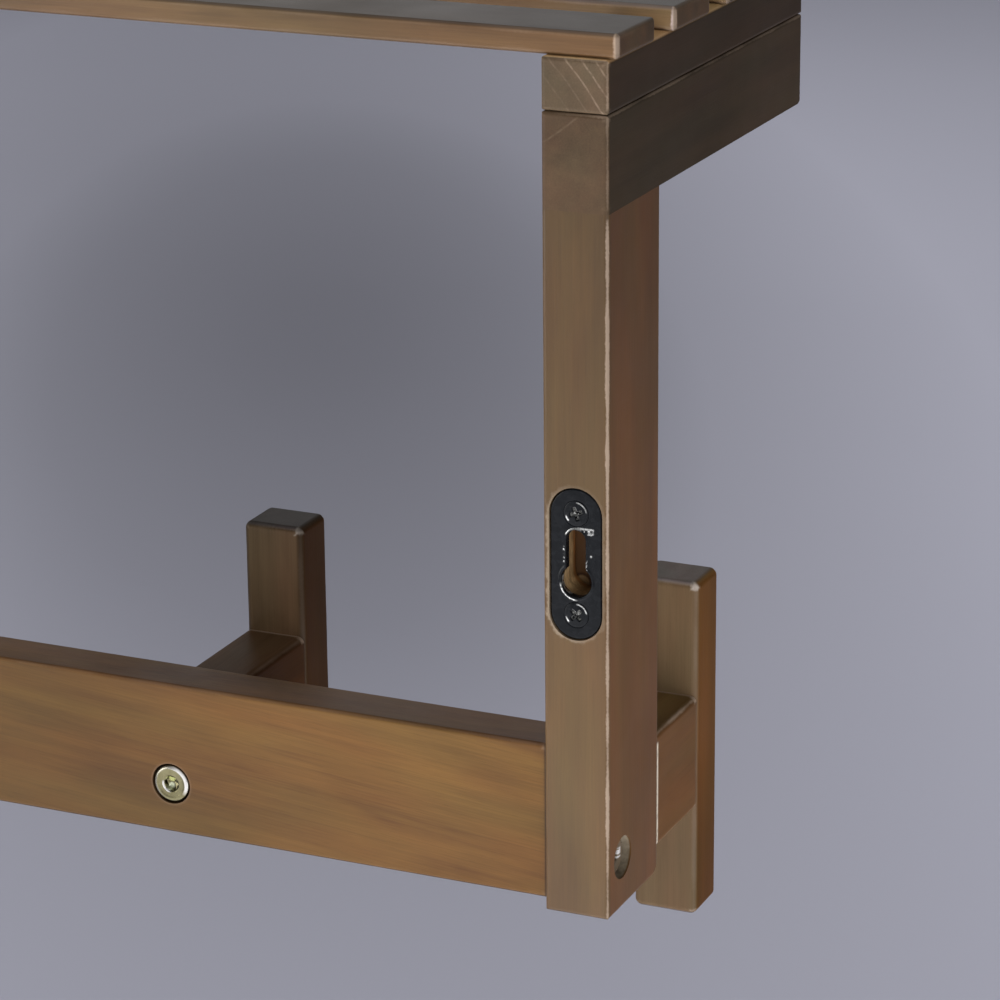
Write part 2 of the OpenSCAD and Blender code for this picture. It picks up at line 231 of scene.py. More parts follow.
class Value:
    """An output of a node. Sums of such values are written as plain arithmetic, and add nodes."""

    def __init__(self, bench, socket):
        self.bench, self.socket = bench, socket

    def step(self, operation, *values):
        """One step of a sum. A vector takes part as a vector, and a vector times a number is scaled."""
        vectors = sum(map(is_vector, values))
        if not vectors:
            return self.bench.math(operation, *values)
        if operation == "MULTIPLY" and vectors == 1:
            return self.bench.vector("SCALE", values[0], scale=values[1])
        return self.bench.vector(operation, *values)

    def __add__(self, other):
        return self.step("ADD", self, other)

    def __radd__(self, other):
        return self.step("ADD", other, self)

    def __sub__(self, other):
        return self.step("SUBTRACT", self, other)

    def __rsub__(self, other):
        return self.step("SUBTRACT", other, self)

    def __mul__(self, other):
        return self.step("MULTIPLY", self, other)

    def __rmul__(self, other):
        return self.step("MULTIPLY", other, self)

    def __truediv__(self, other):
        return self.step("DIVIDE", self, other)

    def __rtruediv__(self, other):
        return self.step("DIVIDE", other, self)

    def __gt__(self, other):
        return self.step("GREATER_THAN", self, other)

    def __lt__(self, other):
        return self.step("LESS_THAN", self, other)

    def __abs__(self):
        return self.step("ABSOLUTE", self)


class Bench:
    """Adds nodes to one tree, feeds their inputs and keeps them in a tidy grid."""

    def __init__(self, tree):
        self.tree = tree
        self.count = 0

    def add(self, kind, inputs=None, **settings):
        """A new node, with its settings and its inputs by name or number."""
        node = self.tree.nodes.new(kind)
        node.location = (190 * (self.count // 4), -230 * (self.count % 4))
        self.count += 1
        for key, value in settings.items():
            setattr(node, key, value)
        return self.fill(node, inputs or {})

    def out(self, kind, inputs=None, output=0, **settings):
        """One output of a new node."""
        return Value(self, self.add(kind, inputs, **settings).outputs[output])

    def fill(self, node, inputs):
        """Feeds several inputs of a node."""
        for key, value in inputs.items():
            self.feed(node.inputs[key], value)
        return node

    def feed(self, socket, value):
        """Links an input to a value or sets it; a short tuple is filled up with ones."""
        if isinstance(value, bpy.types.Node):
            value = value.outputs[0]
        if isinstance(value, Value):
            value = value.socket
        if isinstance(value, bpy.types.NodeSocket):
            self.tree.links.new(value, socket)
        elif isinstance(socket.default_value, (int, float, str, bool)) or value is None:
            socket.default_value = value
        else:
            room = len(socket.default_value)
            socket.default_value = (tuple(value) + (1.0,) * room)[:room]

    def math(self, operation, *values, clamp=False):
        """A step of arithmetic with numbers."""
        return self.out("ShaderNodeMath", dict(enumerate(values)), operation=operation, use_clamp=clamp)

    def vector(self, operation, *values, scale=None):
        """A step of arithmetic with vectors."""
        inputs = dict(enumerate(values))
        if scale is not None:
            inputs["Scale"] = scale
        output = "Value" if operation in ("LENGTH", "DOT_PRODUCT", "DISTANCE") else "Vector"
        return self.out("ShaderNodeVectorMath", inputs, output, operation=operation)

    def most(self, *values):
        """The largest of some numbers."""
        return functools.reduce(lambda first, second: self.math("MAXIMUM", first, second), values)

    def length(self, value):
        """The length of a vector."""
        return self.vector("LENGTH", value)

    def dot(self, first, second):
        """The dot product of two vectors."""
        return self.vector("DOT_PRODUCT", first, second)

    def split(self, value):
        """The three components of a vector."""
        return [Value(self, socket) for socket in self.add("ShaderNodeSeparateXYZ", {0: value}).outputs]

    def join(self, x, y, z):
        """A vector from its three components."""
        return self.out("ShaderNodeCombineXYZ", {0: x, 1: y, 2: z})

    def spread(self, value):
        """A vector with the same number three times."""
        return self.join(value, value, value)

    def fit(self, value, from_low, from_high, to_low=0.0, to_high=1.0, smooth=False):
        """A number brought from one range to another, and held to it."""
        kind = "SMOOTHSTEP" if smooth else "LINEAR"
        inputs = {0: value, 1: from_low, 2: from_high, 3: to_low, 4: to_high}
        return self.out("ShaderNodeMapRange", inputs, interpolation_type=kind)

    def noise(self, place, stretch, detail=2.0, roughness=0.5, distortion=0.0, colour=False):
        """Noise whose cells measure stretch millimetres, along each axis or along all."""
        if isinstance(stretch, float):
            stretch = (stretch,) * 3
        inputs = {"Vector": self.vector("DIVIDE", place, stretch), "Scale": 1.0, "Detail": detail,
                  "Roughness": roughness, "Distortion": distortion}
        return self.out("ShaderNodeTexNoise", inputs, "Color" if colour else "Fac")

    def mottle(self, low, high, *noise):
        """Noise brought from its usual range to another."""
        return self.fit(self.noise(*noise), 0.3, 0.7, low, high)

    def blend(self, factor, first, second, kind="MIX"):
        """Two colours mixed by a factor."""
        node = self.add("ShaderNodeMix", {0: factor}, data_type="RGBA", blend_type=kind)
        colours = [socket for socket in node.inputs if socket.type == "RGBA"]
        self.feed(colours[0], first)
        self.feed(colours[1], second)
        return Value(self, [socket for socket in node.outputs if socket.type == "RGBA"][0])

    def tint(self, colour, filter_colour):
        """A colour seen through a filter."""
        return self.blend(1.0, colour, filter_colour, "MULTIPLY")

    def group(self, name, **inputs):
        """The outputs of a node group by their names; an input's name has _ for a space."""
        node = self.add(self.tree.bl_idname.replace("Tree", "Group"), node_tree=node_group(name))
        self.fill(node, {key.replace("_", " "): value for key, value in inputs.items()})
        return {socket.name: Value(self, socket) for socket in node.outputs}


def node_group(name):
    """A node group by its name, built the first time that it is asked for."""
    return bpy.data.node_groups.get(name) or GROUP_BUILDERS[name]()


SOCKETS = {
    "value": "NodeSocketFloat", "vector": "NodeSocketVector", "colour": "NodeSocketColor",
    "mesh": "NodeSocketGeometry", "whole": "NodeSocketInt", "material": "NodeSocketMaterial",
    "choice": "NodeSocketBool",
}


def new_socket(tree, side, name, given):
    """A socket of a node group, given as a number, a vector, a kind, or a kind with its default."""
    kind, default = ("value", given) if isinstance(given, float) else (given, None)
    if isinstance(given, tuple):
        kind, default = given if isinstance(given[0], str) else ("vector", given)
    socket = tree.interface.new_socket(name, in_out=side, socket_type=SOCKETS[kind])
    if default is not None:
        socket.default_value = default + (1.0,) if kind == "colour" else default


def new_tree(name, kind, inputs, outputs):
    """A node group with named sockets: its bench, what comes in, and a function that takes what goes out."""
    tree = bpy.data.node_groups.new(name, kind)
    for side, sockets in (("INPUT", inputs), ("OUTPUT", outputs)):
        for socket_name, given in sockets.items():
            new_socket(tree, side, socket_name, given)
    bench = Bench(tree)
    given = {socket.name: Value(bench, socket) for socket in bench.add("NodeGroupInput").outputs}
    leave = bench.add("NodeGroupOutput")

    def give(results):
        """Feeds what goes out and returns the finished tree."""
        bench.fill(leave, results)
        return tree
    return bench, given, give


# Shader groups shared by the materials --------------------------------------------------------

AXES = {"X": (1.0, 0.0, 0.0), "Y": (0.0, 1.0, 0.0), "Z": (0.0, 0.0, 1.0)}


def build_row_place():
    """Where a point lies from the middle of the nearest of a row of like pieces, and which piece it is."""
    bench, given, give = new_tree(
        "nearest of a row", "ShaderNodeTree",
        {"Place": "vector", "First": "vector", "Step": (1.0, 0.0, 0.0)},
        {"Local": "vector", "Number": "value"})
    from_first = given["Place"] - given["First"]
    along = bench.dot(from_first, given["Step"]) / bench.dot(given["Step"], given["Step"])
    number = bench.math("ROUND", along)
    back = given["Step"] * number
    return give({"Local": from_first - back, "Number": number})


def build_edge_wear_and_highlight():
    """Mask along a box-shaped piece's edges where the stain is sanded off, and a painted highlight on outward
    edges.
    """
    bench, given, give = new_tree(
        "edge wear", "ShaderNodeTree",
        {"Local": "vector", "Half Size": (10.0, 10.0, 10.0), "Width": 0.9, "Edges": (1.0, 1.0, 1.0),
         "Corners": 1.0, "Outward": 10.0, "Inner": 0.4, "Head": 1.0, "Foot": 0.2, "Patch": 16.0, "Seed": 0.0},
        {"Mask": "value"})
    half, local = given["Half Size"], given["Local"]
    x, y, z = bench.split(half - abs(local))
    along = (bench.most(y, z), bench.most(x, z), bench.most(x, y))
    moved = local + bench.spread(given["Seed"])
    patch = bench.spread(given["Patch"])
    broad = bench.fit(bench.noise(moved, patch, 1.0, 0.5), 0.32, 0.66)
    fine = bench.mottle(-0.12, 0.12, moved, 0.8, 2.0, 0.6)
    reach = given["Width"] * bench.fit(broad, 0.0, 1.0, 0.72, 1.15)
    mask = 0.0
    for distance, weight in zip(along, bench.split(given["Edges"])):
        near = (distance + fine) / reach
        mask = bench.most(mask, bench.fit(near, 1.1, 0.5, smooth=True) * weight)
    mask = mask * bench.fit(broad, 0.0, 1.0, 0.4, 1.0)
    corner = bench.most(along[0], x) + fine * 2.0
    corner = bench.fit(corner, 2.1, 1.0, smooth=True) * given["Corners"]
    mask = bench.most(mask, corner)
    # Painted highlight: on the outward side, where the light catches the edges, their pale line is stronger.
    mask = mask * bench.fit(given["Outward"], -6.0, 6.0, given["Inner"], 1.0)
    for part, away in (("Head", half - local), ("Foot", half + local)):
        mask = mask * bench.fit(bench.dot(away, AXES["Z"]), 0.9, 2.0, given[part], 1.0)
    return give({"Mask": mask})


def build_grain():
    """Wood grain round a pith that lies along X: rings, clouds of stain, fibres and pores, in millimetres."""
    bench, given, give = new_tree(
        "wood grain", "ShaderNodeTree",
        {"Place": "vector", "Ring Width": 3.0, "Rings": 0.2, "Clouds": 0.4, "Fibres": 0.2, "Seed": 0.0},
        {"Tone": "value", "Pore": "value", "Fibre": "value"})
    place = given["Place"] + bench.join(given["Seed"], 0.0, 0.0)
    drift = bench.noise(place, (150.0, 30.0, 30.0), 2.0, 0.5, colour=True)
    drift = (drift - (0.5, 0.5, 0.5)) * 16.0
    _, across, up = bench.split(place + drift)
    radius = bench.length(bench.join(0.0, across, up))
    wave = bench.math("SINE", radius / given["Ring Width"] * TURN)
    fade = bench.fit(bench.noise(place, (90.0, 9.0, 9.0), 1.0), 0.35, 0.65)
    rings = wave * 0.5 * (fade * given["Rings"])
    cloud = bench.mottle(-0.5, 0.5, place, (85.0, 20.0, 20.0), 3.0, 0.55, 0.7)
    smear = bench.mottle(-0.5, 0.5, place, (120.0, 4.0, 4.0), 2.0, 0.6)
    clouds = (cloud + smear * 0.45) * given["Clouds"]
    fine = bench.noise(place, (26.0, 0.5, 0.5), 3.0, 0.65)
    fibres = bench.fit(fine, 0.3, 0.7, -0.5, 0.5) * given["Fibres"]
    tone = bench.math("ADD", rings + clouds, fibres + 0.5, clamp=True)
    pore = bench.fit(bench.noise(place, (5.0, 0.28, 0.28), 1.0), 0.64, 0.74, smooth=True)
    return give({"Tone": tone, "Pore": pore, "Fibre": fine})


def build_drilled():
    """Mask of the inside of a round hole, from its centre, its axis and its radius, in millimetres."""
    bench, given, give = new_tree(
        "drilled hole", "ShaderNodeTree",
        {"Local": "vector", "Centre": "vector", "Axis": (0.0, 1.0, 0.0), "Radius": 6.0, "Depth": 0.4},
        {"Mask": "value", "Reach": "value"})
    away = given["Local"] - given["Centre"]
    deep = bench.dot(away, given["Axis"])
    aside = bench.length(away - given["Axis"] * deep)
    inside = aside < given["Radius"] + 0.12
    under = bench.fit(deep, given["Depth"] * 0.4, given["Depth"])
    return give({"Mask": inside * under, "Reach": aside - given["Radius"]})


def build_stained_wood():
    """Stained wood of one piece: its colour, its roughness and the height of its surface."""
    bench, given, give = new_tree(
        "stained wood", "ShaderNodeTree",
        {"Grain Place": "vector", "Local": "vector", "Half Size": (10.0, 10.0, 10.0), "Number": 0.0,
         "Dark": ("colour", (0.1, 0.06, 0.03)), "Light": ("colour", (0.3, 0.2, 0.1)),
         "Worn": ("colour", (0.5, 0.4, 0.3)), "End": ("colour", (1.0, 1.0, 1.0)), "End Axis": (0.0, 0.0, 1.0),
         "Top": ("colour", (1.0, 1.0, 1.0)), "Ring Width": 3.0, "Rings": 0.2, "Clouds": 0.4, "Fibres": 0.2,
         "Pores": 0.4, "Swing": 0.1, "Wear Width": 1.0, "Wear Edges": (1.0, 1.0, 1.0), "Wear Corners": 0.7,
         "Wear Inner": 0.4, "Wear Head": 1.0, "Wear Foot": 0.2, "Outward": 10.0, "End Over Top": 1.0,
         "Under": 0.5, "Gloss": 0.42},
        {"Colour": "colour", "Roughness": "value", "Height": "value"})
    seed = given["Number"] * 37.0
    grown = bench.group("wood grain", Place=given["Grain Place"], Ring_Width=given["Ring Width"],
                        Rings=given["Rings"], Clouds=given["Clouds"], Fibres=given["Fibres"], Seed=seed)
    worn = bench.group("edge wear", Local=given["Local"], Half_Size=given["Half Size"],
                       Width=given["Wear Width"], Edges=given["Wear Edges"], Corners=given["Wear Corners"],
                       Outward=given["Outward"], Inner=given["Wear Inner"], Head=given["Wear Head"],
                       Foot=given["Wear Foot"], Seed=seed)
    colour = bench.blend(grown["Tone"], given["Dark"], given["Light"])
    warmth = bench.fit(bench.noise(given["Grain Place"], (60.0, 13.0, 13.0), 2.0, 0.5), 0.35, 0.65)
    colour = bench.tint(colour, bench.blend(warmth, (0.93, 1.01, 0.97), (1.045, 0.99, 0.965)))
    sway = bench.math("COSINE", given["Number"] * 2.4)
    shade = 1.0 + (sway - 1.0) * (given["Swing"] * 0.5)
    colour = colour * shade
    half, local = given["Half Size"], given["Local"]
    end = bench.fit(bench.dot(half - abs(local), given["End Axis"]), 1.1, 0.3, smooth=True)
    speckle = bench.mottle(0.9, 1.1, local, 0.5, 2.0, 0.7)
    end_colour = bench.tint(colour, given["End"]) * speckle
    colour = bench.blend(end, colour, end_colour)
    # Painted light and shade: top faces take their own tint, lighter, darker or greyer as the light falls on
    # them.
    from_top = bench.dot(half - local, AXES["Z"])
    top = bench.fit(from_top, 1.0, 0.25, smooth=True) * (1.0 - end * given["End Over Top"])
    colour = bench.blend(top, colour, bench.tint(colour, given["Top"]))
    pores = grown["Pore"] * given["Pores"] * (1.0 - end)
    colour = bench.blend(pores, colour, bench.tint(given["Dark"], (0.5, 0.45, 0.4)))
    colour = bench.blend(worn["Mask"], colour, given["Worn"])
    # Painted shade: a dark line along the foot of the piece.
    from_foot = bench.dot(half + local, AXES["Z"])
    under = bench.fit(from_foot, 0.95, 0.3, smooth=True) * given["Under"]
    colour = bench.blend(under, colour, (0.010, 0.007, 0.005))
    grease = bench.mottle(-0.05, 0.06, local, 38.0, 3.0, 0.6)
    roughness = given["Gloss"] + (grease + worn["Mask"] * 0.12)
    height = grown["Fibre"] * 0.5 - pores * 0.8
    return give({"Colour": colour, "Roughness": roughness, "Height": height})


def build_handled_metal():
    """Smudges, fine scratches and pits of a metal part that has been handled."""
    bench, given, give = new_tree(
        "handled metal", "ShaderNodeTree",
        {"Place": "vector", "Clean": ("colour", (0.7, 0.7, 0.7)), "Soiled": ("colour", (0.4, 0.4, 0.4)),
         "Smooth": 0.2, "Rough": 0.4, "Soil": 0.5},
        {"Colour": "colour", "Roughness": "value", "Height": "value"})
    smudge = bench.fit(bench.noise(given["Place"], 2.6, 3.0, 0.6, 0.8), 0.36, 0.68)
    grit = bench.noise(given["Place"], 0.22, 2.0, 0.7)
    soil = bench.most(smudge, bench.fit(grit, 0.66, 0.74)) * given["Soil"]
    return give({"Colour": bench.blend(soil, given["Clean"], given["Soiled"]),
                 "Roughness": bench.fit(smudge, 0.0, 1.0, given["Smooth"], given["Rough"]),
                 "Height": grit + smudge * 0.3})


# Materials ------------------------------------------------------------------------------------

# The turns that lay the grain along an axis.
ALONG = {"X": (0.0, 0.0, 0.0), "Y": (0.0, 0.0, -math.pi / 2), "Z": (0.0, math.pi / 2, 0.0)}
SPECULAR = "Specular IOR Level"


def new_material(name, settings):
    """A material with a bench, its place in millimetres and its Principled shader."""
    material = bpy.data.materials.new(name)
    material.use_nodes = True
    material.node_tree.nodes.clear()
    bench = Bench(material.node_tree)
    where = bench.out("ShaderNodeTexCoord", output="Object")
    place = bench.out("ShaderNodeMapping", {"Vector": where, "Scale": (1 / MM,) * 3})
    shader = bench.add("ShaderNodeBsdfPrincipled", settings)
    bench.add("ShaderNodeOutputMaterial", {"Surface": shader})
    return material, bench, place, shader


def nearest(bench, place, first, step):
    """The nearest of a row of like pieces, from the middle of the first and the step, in metres."""
    return bench.group("nearest of a row", Place=place, First=in_mm(first), Step=in_mm(step))


def paint(bench, shader, colour, roughness, height, bump, **more):
    """Feeds the shader its colour, its roughness and a bump from a height."""
    normal = bench.add("ShaderNodeBump", {"Height": height, "Distance": bump})
    bench.fill(shader, {"Base Color": colour, "Roughness": roughness, "Normal": normal, **more})


def stained_material(name, along, node, step, stain, end=(1.0, 1.0, 1.0), pith=(0.0, 0.0, 0.0),
                     tilt=(0.0, 0.0, 0.0), details=None, specular=0.3, **look):
    """Stained wood for a row of pieces like one CAD node, whose grain runs along one axis."""
    low, high = span(node)
    material, bench, place, shader = new_material(name, {SPECULAR: specular, "IOR": 1.5})
    turn = tuple(angle + more for angle, more in zip(ALONG[along], tilt))
    turned = bench.add("ShaderNodeMapping", {"Vector": place, "Rotation": turn, "Location": pith})
    row = nearest(bench, place, middle(node), step)
    outward = bench.math("SIGN", bench.split(place)[0]) * bench.split(row["Local"])[0]
    wood = bench.group("stained wood", Grain_Place=turned, Local=row["Local"], Outward=outward,
                       Number=row["Number"], Half_Size=in_mm((high - low) / 2), Dark=stain[0],
                       Light=stain[1], Worn=stains().worn, End=end, End_Axis=AXES[along], **look)
    colour = wood["Colour"]
    if details:
        colour = details(bench, place, row["Local"], colour)
    paint(bench, shader, colour, wood["Roughness"], wood["Height"], 0.00008)
    return material


def post_details(bench, place, local, colour):
    """Rubbed wood round the plate's recess, warm flanks, bare wood in the pocket and counterbore, and painted
    light and shade.
    """
    x, y, z = bench.split(local)
    _, world_y, world_z = bench.split(place)
    rag = bench.noise(place, 2.2, 3.0, 0.6)

    plate_z = in_mm(PLATE_LEFT - middle("post_left"))[2]
    past = bench.most(abs(z - plate_z) - PLATE_RUN / MM, 0.0)
    ring = bench.length(bench.join(x, 0.0, past)) - (PLATE_R / MM + 0.3)
    # A pale ring round the recess: rubbed wood, and on its lower left a painted highlight of the lit recess
    # edge.
    rubbed = bench.fit(bench.fit(rag, 0.3, 0.7, 0.25, 1.4) - ring, -0.3, 0.6, smooth=True)
    rubbed = rubbed * (ring > -0.2) * ((world_y > -0.9) * 0.5)
    rubbed = rubbed * bench.fit(z, plate_z + 24.0, plate_z + 12.0, 0.0, 1.0)
    rubbed = rubbed * bench.fit(x, -7.0, 3.0, 0.35, 1.15)
    colour = bench.blend(rubbed, colour, (0.33, 0.26, 0.185))

    half = extent("post_left") / 2 / MM
    flank = bench.fit(abs(x), half.x - 1.0, half.x - 0.5, smooth=True)
    flank = flank * bench.fit(abs(y), half.y - 0.9, half.y - 1.7, smooth=True)
    colour = bench.blend(flank, colour, bench.tint(colour, (1.22, 0.98, 0.8)))
    # Painted shade: the post darkens towards its top, and its flanks more strongly.
    colour = colour * bench.fit(z, 97.0, 35.0, 0.84, 1.0)
    colour = bench.blend(flank, colour, colour * bench.fit(z, 97.0, -20.0, 0.84, 1.0))

    # The pocket behind the keyhole: from under the plate to its floor, which lies about 11 mm deep.
    in_pocket = bench.fit(world_y, -2.3, -2.9) * (ring < -1.0)
    in_pocket = in_pocket * (world_y > -14.0)
    mark = bench.length((place - in_mm(DRILL_MARK)) * (1.0, 0.0, 1.0))
    floor = bench.blend(bench.fit(mark, 1.8, 2.5), (0.33, 0.22, 0.11), (0.135, 0.068, 0.028))
    floor = bench.blend(bench.fit(abs(mark - 2.45), 0.6, 0.1), floor, (0.06, 0.028, 0.012))
    scorch = bench.mottle(0.0, 1.0, place, (1.2, 1.2, 5.0), 3.0, 0.6)
    # Painted shade: the pocket's wall darkens from its mouth inwards, and the lower part of the pocket
    # darkens further.
    wall = bench.blend(bench.fit(world_y, -9.6, -8.6), (0.46, 0.22, 0.075), stains().bare)
    wall = bench.blend(bench.fit(scorch, 0.0, 1.0, -0.15, 0.7), wall, (0.15, 0.065, 0.025))
    bare = bench.blend(bench.fit(world_y, -10.9, -10.2), floor, wall)
    bare = bench.blend(bench.fit(world_z, -2.6, -4.6, 0.0, 0.75), bare, (0.04, 0.025, 0.015))
    colour = bench.blend(in_pocket, colour, bare)

    low, high = span("rail_bolts")
    centre = in_mm((high.x + 2 * MM, -(low.y + high.y) / 2, -(low.z + high.z) / 2))
    folded = bench.join(bench.split(abs(place))[0], world_y, world_z) * (1.0, -1.0, -1.0)
    bore = bench.group("drilled hole", Local=folded, Axis=(-1.0, 0.0, 0.0), Centre=centre,
                       Radius=BORE_R / MM, Depth=0.7)
    deep_in_bore = bench.blend(bench.fit(rag, 0.35, 0.65), (0.175, 0.140, 0.095), (0.31, 0.26, 0.19))
    return bench.blend(bore["Mask"], colour, deep_in_bore)


def rail_details(bench, place, local, colour):
    """Painted shade at the posts and in the hook bolts' counterbores, and painted light and shade along the
    rail.
    """
    half = extent("rail") / 2 / MM
    x, _, z = bench.split(local)
    world_x, world_y, _ = bench.split(place)
    # Painted shade in the groove where the rail meets a post.
    corner = extent("rail").x / 2 / MM - abs(x)
    colour = bench.blend(bench.fit(corner, 1.3, 0.2, 0.0, 0.85, smooth=True), colour, (0.012, 0.007, 0.005))
    # Painted light and shade by place: the rear face darkens towards the middle and the foot, the top
    # lightens towards the middle.
    from_middle = abs(world_x)
    flat = bench.fit(z, half.z - 0.5, half.z - 1.1, smooth=True)
    shade = bench.fit(from_middle, 95.0, 195.0, 0.81, 1.17) * bench.fit(z, -20.0, 18.0, 0.86, 1.1)
    upper = bench.fit(from_middle, 60.0, 150.0, 1.36, 1.05)
    colour = colour * (upper + flat * (shade - upper))
    low, high = span("hook_bolts")
    rear = span("rail")[1].y
    hook = nearest(bench, place, (0.0, 0.0, 0.0), HOOK_STEP)
    bore = bench.group("drilled hole", Local=hook["Local"], Axis=(0.0, -1.0, 0.0),
                       Centre=in_mm((0.0, rear, (low.z + high.z) / 2)), Radius=BORE_R / MM, Depth=0.8)
    rim = bench.fit(abs(bore["Reach"]), 0.7, 0.1) * (world_y > rear / MM - 0.6)
    colour = bench.blend(rim * 0.12, colour, stains().worn)
    # Painted shade: the inside of each counterbore is near black.
    return bench.blend(bore["Mask"], colour, (0.045, 0.025, 0.012))


def end_lines(centre, rings):
    """Pale growth lines on the sawn ends: arcs round a pith outside the piece, with radius and strength."""
    def draw(bench, place, local, colour):
        """Blends the lines in on the faces at the wall."""
        x, y, z = bench.split(place)
        wobble = (bench.noise(place, 5.0, 1.0) - 0.5) * 0.6
        flat = bench.join(abs(x), 0.0, z)
        radius = bench.vector("DISTANCE", flat, (centre[0], 0.0, centre[1])) + wobble
        lines = bench.most(0.0, *(bench.fit(abs(radius - ring), 0.36, 0.04, 0.0, strength)
                                  for ring, strength in rings))
        broken = bench.fit(bench.noise(place, 1.6, 2.0), 0.36, 0.6, 0.25, 1.0)
        return bench.blend(lines * broken * (y > -0.5), colour, stains().worn)
    return draw


def slat_details(bench, place, local, colour):
    """Slats darken towards their ends, not on their rear faces, which are paler and have painted light behind
    the first slat.
    """
    half = SLAT_SIZE / 2 / MM
    from_middle = abs(bench.split(place)[0])
    rear = bench.fit(bench.split(local)[1], half.y - 1.1, half.y - 0.5, smooth=True)
    rear = rear * bench.fit(from_middle, half.x - 0.4, half.x - 1.2, smooth=True)
    behind = nearest(bench, place, middle("slat_1"), SLAT_STEP)["Number"] > 0.5
    streaks = bench.math("COSINE", (from_middle - 190.0) / (130.0 / TURN))
    # Painted light on the rear faces behind the first slat, which lie in its shadow, with a greyer tint
    # there.
    pale = streaks * -0.25 + (1.1 + behind * 1.1)
    shade = bench.fit(from_middle, 256.0, 150.0, 0.76, 1.15)
    shaded = colour * (shade + rear * (pale - shade))
    return bench.blend(rear * behind, shaded, bench.tint(shaded, (1.0, 1.12, 1.5)))


def neck_details(at_post):
    """The pale line where a neck meets its block, and a painted highlight on an end hook's rear edge at its
    post.
    """
    def draw(bench, place, local, colour):
        """Blends both lines in."""
        (_, front_y, _), (_, rear_y, top_z) = map(in_mm, span("hook_neck_1"))
        _, y, z = bench.split(place)
        front = bench.fit(y - front_y, 1.1, 0.5, smooth=True)
        upper = bench.fit(top_z - z, 1.6, 0.8, smooth=True)
        colour = bench.blend(front * upper * 0.65, colour, stains().worn)
        if not at_post:
            return colour
        # Painted highlight: a bright, broken line along the rear edge where the neck meets its post.
        rear = bench.fit(abs(rear_y - y - 2.0), 0.8, 0.35, smooth=True)
        broken = bench.fit(bench.noise(place, 0.9, 1.0), 0.35, 0.5, 0.6, 1.0)
        below = bench.fit(z, top_z - 2.5, top_z - 3.5)
        return bench.blend(rear * below * broken, colour, (0.72, 0.63, 0.50))
    return draw


def block_details(bench, place, local, colour):
    """Warm sides, greyer rears, a painted highlight, and painted shade, above all on the three middle hook
    blocks' sides and tops.
    """
    last = middle("hook_block_5").x / MM
    half = BLOCK_SIZE / 2 / MM
    x, y, z = bench.split(local)
    flank = bench.fit(abs(x), half.x - 2.2, half.x - 0.9, smooth=True)
    back = bench.fit(y, half.y - 2.0, half.y - 1.0)
    tint = bench.blend(flank, (1.0, 1.0, 1.0), (0.97, 0.67, 0.24))
    colour = bench.tint(colour, bench.blend(back, tint, (1.14, 1.23, 1.42)))
    # Painted shade: darker towards the foot.
    colour = colour * bench.fit(z, -30.0, 0.0, 0.8, 1.03)
    # Painted highlight on the top rear corner of the outer side.
    corner = bench.most(half.x + x, bench.most(half.y - y, half.z - z))
    corner = corner + bench.mottle(-0.35, 0.35, place, 1.2, 1.0)
    colour = bench.blend(bench.fit(corner, 2.5, 0.9, 0.0, 0.75, smooth=True), colour, (0.62, 0.55, 0.48))
    # Painted shade on the middle hooks, which the posts shade: darker sides and tops, rears darker up high;
    # the end hooks keep their tone.
    side = bench.fit(flank, 0.0, 1.0, 1.0, 0.6)
    top = bench.fit(z, half.z - 1.6, half.z - 0.6, 1.0, 0.5, smooth=True)
    rear = bench.fit(back, 0.0, 1.0, 1.0, bench.fit(z, 45.0, 15.0, 0.92, 1.15))
    shade = side * top * rear
    end_hooks = bench.fit(abs(bench.split(place)[0]), last * 0.7, last * 0.8)
    return colour * (shade + end_hooks * (1.0 - shade))


def tones(kind, tint=(1.0, 1.0, 1.0)):
    """The dark and the light stain tone of a kind of piece, seen through a tint."""
    woods = stains()
    pair = (getattr(woods, kind + "_dark"), getattr(woods, kind + "_light"))
    return [tuple(a * b for a, b in zip(tone, tint)) for tone in pair]


def post_wood():
    """Reddish brown posts, worn at their rear edges, with a painted highlight on the outward ones."""
    return stained_material(
        "post_wood", "Z", "post_left", middle("post_right") - middle("post_left"),
        tones("post"), pith=(0.0, 40.0, 215.0), details=post_details, specular=0.33,
        Ring_Width=9.0, Rings=0.12, Clouds=0.5, Fibres=0.22, Pores=0.12, Swing=0.08, Wear_Width=0.86,
        Wear_Edges=(0.3, 0.3, 1.5), Wear_Corners=0.0, Wear_Inner=0.08, Wear_Head=0.0, Wear_Foot=0.8,
        Under=0.6, Gloss=0.42)


def sided_wood(piece, lines, **look):
    """Dark wood of a piece that both end frames have, with growth lines on its sawn end."""
    left, right = piece + "_left", piece + "_right"
    return stained_material(
        piece + "_wood", "Y", left, middle(right) - middle(left), tones(piece), pith=(0.0, -215.0, -150.0),
        details=end_lines(*lines), specular=0.16, Ring_Width=8.0, Rings=0.12, Clouds=0.5, Fibres=0.14,
        Pores=0.12, Swing=0.1, Wear_Width=0.8, Gloss=0.48, Under=0.0, **look)


def arm_wood():
    """The arms on the posts' tops."""
    return sided_wood("arm", ((207.9, 167.9), ((60.0, 0.16),)), end=(2.15, 2.08, 2.30),
                      Wear_Edges=(0.6, 0.45, 0.5), Wear_Corners=0.15, Wear_Inner=0.12, Wear_Foot=0.0)


def bearer_wood():
    """The bearers under the slats, with clear lines on their ends and painted light on their tops."""
    rings = ((112.4, 0.1), (116.6, 0.17), (120.0, 0.5), (123.3, 0.5), (126.2, 0.45))
    return sided_wood("bearer", ((155.5, 58.7), rings), end=(3.65, 4.05, 4.8), Top=(15.0, 15.5, 14.5),
                      Wear_Edges=(0.75, 0.3, 0.9), Wear_Corners=0.15, Wear_Inner=0.15, Wear_Foot=0.1)


